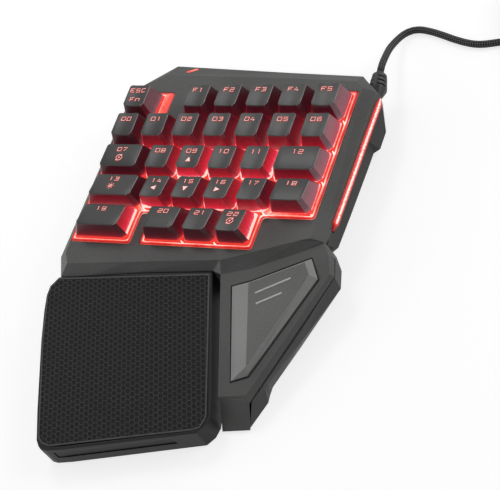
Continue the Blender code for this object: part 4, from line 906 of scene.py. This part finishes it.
comb = bmesh.new()
reach = max((point - outline_centre).length for point in outline) + CORNER_OVERLAP
for a in range(-PIT_COUNT, PIT_COUNT + 1):
    for b in range(-PIT_COUNT, PIT_COUNT + 1):
        shift = PIT_STEP_A * a + PIT_STEP_B * b
        place = outline_centre.to_2d() + shift
        if shift.length > reach or not all(
                (outline[i] - outline[i - 1]).to_2d().normalized().cross(
                    place - outline[i - 1].to_2d()) > -SIDE_OVERLAP for i in range(len(outline))):
            continue
        known = len(comb.verts)
        comb.from_mesh(cell_mesh)
        comb.verts.ensure_lookup_table()
        for vertex in comb.verts[known:]:
            spot = place + vertex.co.to_2d()
            vertex.co = (*spot, slope_z(spot, REST_POINT, REST_SLOPE) + PAD_TOP_LIFT
                         + vertex.co.z)
bmesh.ops.remove_doubles(comb, verts=comb.verts, dist=mm(0.005))
for index, point in enumerate(outline):
    along = (point - outline[index - 1]).to_2d().normalized()
    bmesh.ops.bisect_plane(comb, geom=[*comb.verts, *comb.edges, *comb.faces], dist=mm(0.0005),
                           plane_co=(point.x, point.y, 0.0), plane_no=(along.y, -along.x, 0.0),
                           clear_outer=True)
edge_loop = [edge for edge in comb.edges if edge.is_boundary]
skirt = bmesh.ops.extrude_edge_only(comb, edges=edge_loop)["geom"]
for vertex in skirt:
    if isinstance(vertex, bmesh.types.BMVert):
        vertex.co.z -= PIT_DEPTH
comb_mesh = bpy.data.meshes.new("comb")
comb.to_mesh(comb_mesh)
comb.free()
slab.from_mesh(comb_mesh)
bpy.data.meshes.remove(comb_mesh)
bpy.data.meshes.remove(cell_mesh)
honeycomb_pad = new_piece("honeycomb_pad", slab, ridge_rubber, pit_rubber_painted_shade, border_rubber_painted_highlight)
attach(honeycomb_pad, "rest")
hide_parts("palm_pad")


# Strain relief: black flexible PVC, moulded onto the cable and held in the case's wall. It
# tapers towards the cable in ribs, so the cable can't kink where it comes out.
RELIEF_POINT = FIELD_CORNER + Vector(mm((139.9, 8.0, -10.0)))
RELIEF_DIRECTION = Vector((-0.161, 0.987, 0.0)).normalized()
RELIEF_PROFILE = mm([(-4.0, 0.0), (-4.0, 2.2), (2.4, 4.9), (3.0, 4.9), (3.0, 3.6), (3.9, 3.6),
                     (3.9, 4.8), (5.9, 4.6), (5.9, 3.4), (6.8, 3.4), (6.8, 4.5), (8.8, 4.3),
                     (8.8, 3.1), (9.7, 3.1), (9.7, 4.1), (11.9, 3.9), (12.3, 3.5), (12.3, 2.0),
                     (11.0, 2.0), (11.0, 0.0)])
WEB_ENDS = mm((2.5, 10.0))
WEB_HALF_WIDTH = mm(1.0)
WEB_FOOT = mm(2.5)
WEB_TOP = mm(4.85)
WEB_TAPER = 0.1


def turned(profile, axis, steps, merge):
    """Spins a line of points round an axis through the origin, as a smooth skin."""
    bm = bmesh.new()
    verts = [bm.verts.new(point) for point in profile]
    edges = [bm.edges.new(pair) for pair in zip(verts, verts[1:])]
    bmesh.ops.spin(bm, geom=[*verts, *edges], cent=(0, 0, 0), axis=axis, angle=math.tau,
                   steps=steps, use_merge=True, use_duplicate=False)
    bmesh.ops.remove_doubles(bm, verts=bm.verts, dist=merge)
    bmesh.ops.recalc_face_normals(bm, faces=bm.faces)
    smooth(bm.faces)
    return bm


along_x = Vector((1.0, 0.0, 0.0))
bm = turned([(distance, radius, 0.0) for distance, radius in RELIEF_PROFILE], along_x, 32,
            mm(0.002))
for quarter in range(4):
    web = bmesh.ops.create_cube(bm, size=1.0)["verts"]
    for vertex in web:
        distance = WEB_ENDS[vertex.co.x > 0]
        top = WEB_TOP - WEB_TAPER * (distance - WEB_ENDS[0])
        vertex.co = (distance, WEB_HALF_WIDTH * (1 if vertex.co.y > 0 else -1),
                     top if vertex.co.z > 0 else WEB_FOOT)
    bmesh.ops.rotate(bm, verts=web, cent=(0, 0, 0),
                     matrix=Matrix.Rotation(quarter * math.pi / 2, 3, along_x))
turn = along_x.rotation_difference(RELIEF_DIRECTION)
for vertex in bm.verts:
    vertex.co = RELIEF_POINT + turn @ vertex.co
relief_sleeve = new_piece("relief_sleeve", bm,
                          soft_rubber("pvc_relief_black", "#2b2b2b", "#373736", 0.5))
relief_sleeve.data.set_sharp_from_angle(angle=math.radians(35.0))
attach(relief_sleeve, "case")
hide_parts("strain_relief")


# Cable: a flexible lead in a sleeve braided from black and grey polyester yarn, 3.8 mm
# thick. It leaves the case at the back right, lies on the desk and ends in a round coil.
CABLE_RADIUS = mm(1.9)
CABLE_ROUTE = mm([(137.5, 22.7), (136.6, 28.0), (135.3, 36.5), (134.2, 46.6), (135.4, 57.3),
                  (139.0, 62.5), (144.1, 63.8), (151.4, 62.1), (159.0, 59.2), (165.9, 56.3),
                  (174.5, 53.4), (182.0, 52.4), (191.6, 53.6), (202.0, 54.9), (211.0, 55.2)])
CABLE_DROPS = [0.0, 0.057, 0.256, 0.541, 0.847, 0.961, 0.996, 1.0, 1.0, 1.0, 1.0, 1.0, 1.0,
               0.968, 0.925]
RELIEF_Z = mm(-10.0)
LYING_Z = mm(-24.05)
CABLE_STEP = mm(3.0)
CURVE_SAMPLES = 20
COIL_CENTRE = mm((228.0, 83.5))
COIL_MEAN_RADIUS = mm(22.0)
COIL_PITCH = mm(4.35)
COIL_LAYERS = 4
COIL_TURNS_PER_LAYER = 3
COIL_POINTS_PER_TURN = 24
COIL_CLIMB_TURNS = 0.5
COIL_BOTTOM_Z = mm(-22.8)
TAIL_RADIUS = mm(15.0)
TAIL_RISE_LEAD = mm(15.0)
TAIL_POINTS = 7
PLUG_AXIS_Z = mm(-3.05)
TOUCH_GAP = mm(0.3)


def smooth_route(points, step):
    """Points about step apart on a smooth curve through the route's points."""
    padded = [2 * points[0] - points[1], *points, 2 * points[-1] - points[-2]]
    fine = []
    for index in range(1, len(padded) - 2):
        before, start, end, after = padded[index - 1:index + 3]
        for sample in range(CURVE_SAMPLES):
            t = sample / CURVE_SAMPLES
            fine.append(0.5 * (2 * start + (end - before) * t
                               + (2 * before - 5 * start + 4 * end - after) * t * t
                               + (3 * start - before - 3 * end + after) * t * t * t))
    fine.append(points[-1])
    lengths = np.cumsum([0.0] + [(b - a).length for a, b in zip(fine, fine[1:])])
    wanted = np.linspace(0.0, lengths[-1], max(2, round(lengths[-1] / step) + 1))
    columns = [np.interp(wanted, lengths, [point[axis] for point in fine]) for axis in range(3)]
    return [Vector(point) for point in zip(*columns)]


def smoothstep(share):
    """Rises from 0 to 1 with the share, level at both ends."""
    share = min(1.0, max(0.0, share))
    return share * share * (3.0 - 2.0 * share)


def coil_points():
    """Coil wound in layers, spiralling in and out, with a tail that rises to the plug."""
    centre = Vector((*COIL_CENTRE, 0.0))
    outer = COIL_MEAN_RADIUS + COIL_TURNS_PER_LAYER * COIL_PITCH / 2
    points = []
    turns = COIL_LAYERS * COIL_TURNS_PER_LAYER
    tail_length = TAIL_RADIUS * math.pi / 2
    last_layer_z = COIL_BOTTOM_Z + (COIL_LAYERS - 1) * COIL_PITCH
    rise = PLUG_AXIS_Z - last_layer_z
    for index in range(turns * COIL_POINTS_PER_TURN + 1):
        turn = index / COIL_POINTS_PER_TURN
        layer = min(int(turn / COIL_TURNS_PER_LAYER), COIL_LAYERS - 1)
        inwards = turn - layer * COIL_TURNS_PER_LAYER
        if layer % 2:
            inwards = COIL_TURNS_PER_LAYER - inwards
        radius = outer - inwards * COIL_PITCH
        past_edges = [turn - edge * COIL_TURNS_PER_LAYER for edge in range(1, COIL_LAYERS)]
        climbed = sum(min(1.0, max(0.0, 0.5 + past / COIL_CLIMB_TURNS)) for past in past_edges)
        left = (turns - turn) * math.tau * outer
        lifted = rise * smoothstep((TAIL_RISE_LEAD - left) / (TAIL_RISE_LEAD + tail_length))
        angle = math.tau * turn - math.pi / 2
        points.append(centre + Vector((radius * math.cos(angle), radius * math.sin(angle),
                                       COIL_BOTTOM_Z + climbed * COIL_PITCH + lifted)))
    tail_centre = centre + Vector((0.0, TAIL_RADIUS - outer, 0.0))
    for index in range(1, TAIL_POINTS + 1):
        share = index / TAIL_POINTS
        angle = share * math.pi / 2 - math.pi / 2
        run = TAIL_RISE_LEAD + share * tail_length
        lifted = rise * smoothstep(run / (TAIL_RISE_LEAD + tail_length))
        points.append(tail_centre + Vector((TAIL_RADIUS * math.cos(angle),
                                            TAIL_RADIUS * math.sin(angle),
                                            last_layer_z + lifted)))
    points.insert(0, points[0] - Vector((2 * CABLE_RADIUS, 0.0, 0.0)))
    points.append(points[-1] + Vector((0.0, 2 * CABLE_RADIUS, 0.0)))
    return points


def sleeve(name, points, material, sides=16):
    """Tube along points, with a UV map: u once round it and v its length in metres."""
    bm = bmesh.new()
    uv = bm.loops.layers.uv.new("sleeve")
    rings = []
    side = None
    for index, point in enumerate(points):
        ahead = points[min(index + 1, len(points) - 1)]
        behind = points[max(index - 1, 0)]
        along = (ahead - behind).normalized()
        side = Vector((0.0, 0.0, 1.0)) if side is None else side
        side = (side - along * side.dot(along)).normalized()
        across = along.cross(side)
        rings.append([bm.verts.new(point + (side * math.cos(math.tau * corner / sides)
                                            + across * math.sin(math.tau * corner / sides))
                                   * CABLE_RADIUS) for corner in range(sides)])
    lengths = np.cumsum([0.0] + [(b - a).length for a, b in zip(points, points[1:])])
    for index, (near, far) in enumerate(zip(rings, rings[1:])):
        for corner in range(sides):
            following = (corner + 1) % sides
            face = bm.faces.new((near[corner], near[following], far[following], far[corner]))
            face.smooth = True
            places = [(corner, 0), (corner + 1, 0), (corner + 1, 1), (corner, 1)]
            for loop, (u, v) in zip(face.loops, places):
                loop[uv].uv = (u / sides, lengths[index + v])
    bm.faces.new(rings[0])
    bm.faces.new(rings[-1])
    bmesh.ops.recalc_face_normals(bm, faces=bm.faces)
    return new_piece(name, bm, material)


# Braid: yarn bundles that cross in two directions, 10 round the sleeve and one every
# 2.6 mm along it. Crossings stand up and are paler, and the hollows between are black.
BRAID_LENGTH = mm(2.6)
BRAID_BUNDLES = 10
braid, tree, shader, place = start_material("polyester_braid")
uv_place = add_node(tree, "ShaderNodeUVMap", {}, uv_map="sleeve").outputs["UV"]
parts = add_node(tree, "ShaderNodeSeparateXYZ", {"Vector": uv_place})
around = add_node(tree, "ShaderNodeMath", {0: parts.outputs["X"], 1: math.pi * BRAID_BUNDLES},
                  operation="MULTIPLY").outputs[0]
along = add_node(tree, "ShaderNodeMath", {0: parts.outputs["Y"], 1: math.tau / BRAID_LENGTH},
                 operation="MULTIPLY").outputs[0]
crossings = []
for operation in ("ADD", "SUBTRACT"):
    lean = add_node(tree, "ShaderNodeMath", {0: around, 1: along}, operation=operation)
    crossings.append(add_node(tree, "ShaderNodeMath", {0: lean.outputs[0]}, operation="SINE"))
weave = add_node(tree, "ShaderNodeMath", {0: crossings[0].outputs[0], 1: crossings[1].outputs[0]},
                 operation="MULTIPLY").outputs[0]
braid_height = add_node(tree, "ShaderNodeMapRange",
                        {"Value": weave, "From Min": -1.0}).outputs["Result"]
fill(tree, shader, {
    "Base Color": add_node(tree, "ShaderNodeValToRGB", {"Fac": braid_height},
                           stops=[(0.2, "#111111"), (0.65, "#262626"), (0.97, "#8f8f8d")]
                           ).outputs["Color"],
    "Roughness": 0.75,
    "Normal": add_node(tree, "ShaderNodeBump", {"Strength": 0.8, "Distance": mm(0.25),
                                                "Height": braid_height}).outputs["Normal"]})

free_start = [FIELD_CORNER + Vector((x, y, RELIEF_Z + (LYING_Z - RELIEF_Z) * drop))
              for (x, y), drop in zip(CABLE_ROUTE, CABLE_DROPS)]
coil = [FIELD_CORNER + point for point in coil_points()]
free_end = coil[0] - Vector((TOUCH_GAP, 0.0, 0.0))
straight_start = free_end - Vector((2 * CABLE_RADIUS, 0.0, 0.0))
cable_path = [*smooth_route([*free_start, straight_start], CABLE_STEP), free_end, *coil[1:]]
braided_cable = sleeve("braided_cable", cable_path, braid)
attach(braided_cable, "case")
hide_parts("cable", "cable_coil")


# Cable lead: the first stretch of the same braided cable, which lies inside the mouth of
# the strain relief.
lead_path = [RELIEF_POINT + RELIEF_DIRECTION * mm(reach) for reach in (11.2, 12.4, 13.6, 14.85)]
cable_lead = sleeve("cable_lead", lead_path, braid)
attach(cable_lead, "case")


# Tie: a strap of black hook and loop tape round the turns of the coil.
tie_tape, tree, shader, place = start_material("hook_and_loop_tape")
loops = add_node(tree, "ShaderNodeTexVoronoi", {"Vector": place, "Scale": 1 / mm(0.6)})
fill(tree, shader, {
    "Base Color": add_node(tree, "ShaderNodeValToRGB", {"Fac": loops.outputs["Distance"]},
                           stops=[(0.1, "#2a2a2a"), (0.6, "#151515")]).outputs["Color"],
    "Roughness": 0.9, "Sheen Weight": 0.3,
    "Normal": add_node(tree, "ShaderNodeBump",
                       {"Strength": 0.7, "Distance": mm(0.2),
                        "Height": loops.outputs["Distance"]}).outputs["Normal"]})
dress(tie_tape, "coil_tie")


# Plug: a black overmould with grip ribs and a folded shell of nickel plated steel round a
# tongue with four gilt contacts.
PLUG_ROUND = mm(0.5)
PLUG_SHARP = 0.6
plug_black = moulded_plastic("pvc_overmould_black", "#1b1b1b", "#262626", 0.5)
bm = merged_copy("plug_body")
rounded(bm, [edge for edge in bm.edges if edge.calc_face_angle(0.0) > PLUG_SHARP],
        PLUG_ROUND)
plug_grip = new_piece("plug_grip", bm, plug_black)
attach(plug_grip, "case")
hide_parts("plug_body")
dress(screw_steel, "plug_shell")


# Floor: a wide white sheet that curves up into a backdrop on every side. To the camera it
# glows a little, so it reads as white and still takes the object's shadow.
FLOOR_RADIUS = 3.0
SHEET_PROFILE = [(0.0, 0.0), (FLOOR_RADIUS, 0.0), (3.5, 0.08), (3.85, 0.35), (4.0, 0.8),
                 (4.0, 2.6)]
sheet, tree, shader, place = start_material("studio_sheet")
light_path = add_node(tree, "ShaderNodeLightPath", {})
seen = add_node(tree, "ShaderNodeMath", {0: light_path.outputs["Is Camera Ray"],
                                         1: light_path.outputs["Is Glossy Ray"]},
                operation="ADD").outputs[0]
seen = add_node(tree, "ShaderNodeMath", {0: seen, 1: light_path.outputs["Is Transmission Ray"]},
                operation="ADD", use_clamp=True).outputs[0]
own_glow = add_node(tree, "ShaderNodeMath", {0: seen, 1: 0.75}, operation="MULTIPLY").outputs[0]
fill(tree, shader, {"Base Color": (0.4, 0.4, 0.4, 1.0), "Roughness": 0.9,
                    "Emission Color": (1.0, 1.0, 1.0, 1.0), "Emission Strength": own_glow})
bm = turned([(distance, 0.0, height) for distance, height in SHEET_PROFILE],
            Vector((0.0, 0.0, 1.0)), 48, mm(1.0))
new_piece("studio_floor", bm, sheet)


# Studio light: a pale sky and five soft boxes. The ones at the sides are low, so that the
# sloping facets of the case come out lighter than its flat tops, as in the photograph.
# Each soft box has its place and its size in metres, and its power in watts.
SOFT_BOXES = {"softbox_back": ((-0.48, 0.72, 1.1), 0.4, 3.2),
              "softbox_left": ((-1.2, 0.0, 0.4), 0.8, 4.0),
              "softbox_right": ((0.8, 0.35, 0.6), 0.4, 2.0),
              "softbox_rear": ((0.6, 1.1, 0.5), 0.8, 3.0),
              "softbox_front": ((-0.9, -0.8, 0.6), 0.8, 1.6)}
world = bpy.data.worlds.new("studio_sky")
world.use_nodes = True
fill(world.node_tree, world.node_tree.nodes["Background"],
     {"Color": (1.0, 1.0, 1.0, 1.0), "Strength": 0.25})
bpy.context.scene.world = world
for name, (place, size, power) in SOFT_BOXES.items():
    lamp = bpy.data.lights.new(name, "AREA")
    lamp.size = size
    lamp.energy = power
    holder = bpy.data.objects.new(name, lamp)
    holder.location = place
    holder.rotation_euler = (-Vector(place)).to_track_quat("-Z", "Y").to_euler()
    bpy.context.scene.collection.objects.link(holder)


# Camera: where the photograph was taken from, 0.75 m away and looking down at 47 degrees
# from the front right.
lens = bpy.data.cameras.new("camera")
lens.sensor_width = 36.0
lens.lens = 106.17
camera = bpy.data.objects.new("camera", lens)
camera.location = (0.38494, -0.34044, 0.55483)
camera.rotation_euler = [math.radians(angle) for angle in (37.3522, 22.6226, 19.3298)]
bpy.context.scene.collection.objects.link(camera)
bpy.context.scene.camera = camera
bpy.context.scene.view_settings.view_transform = "Standard"
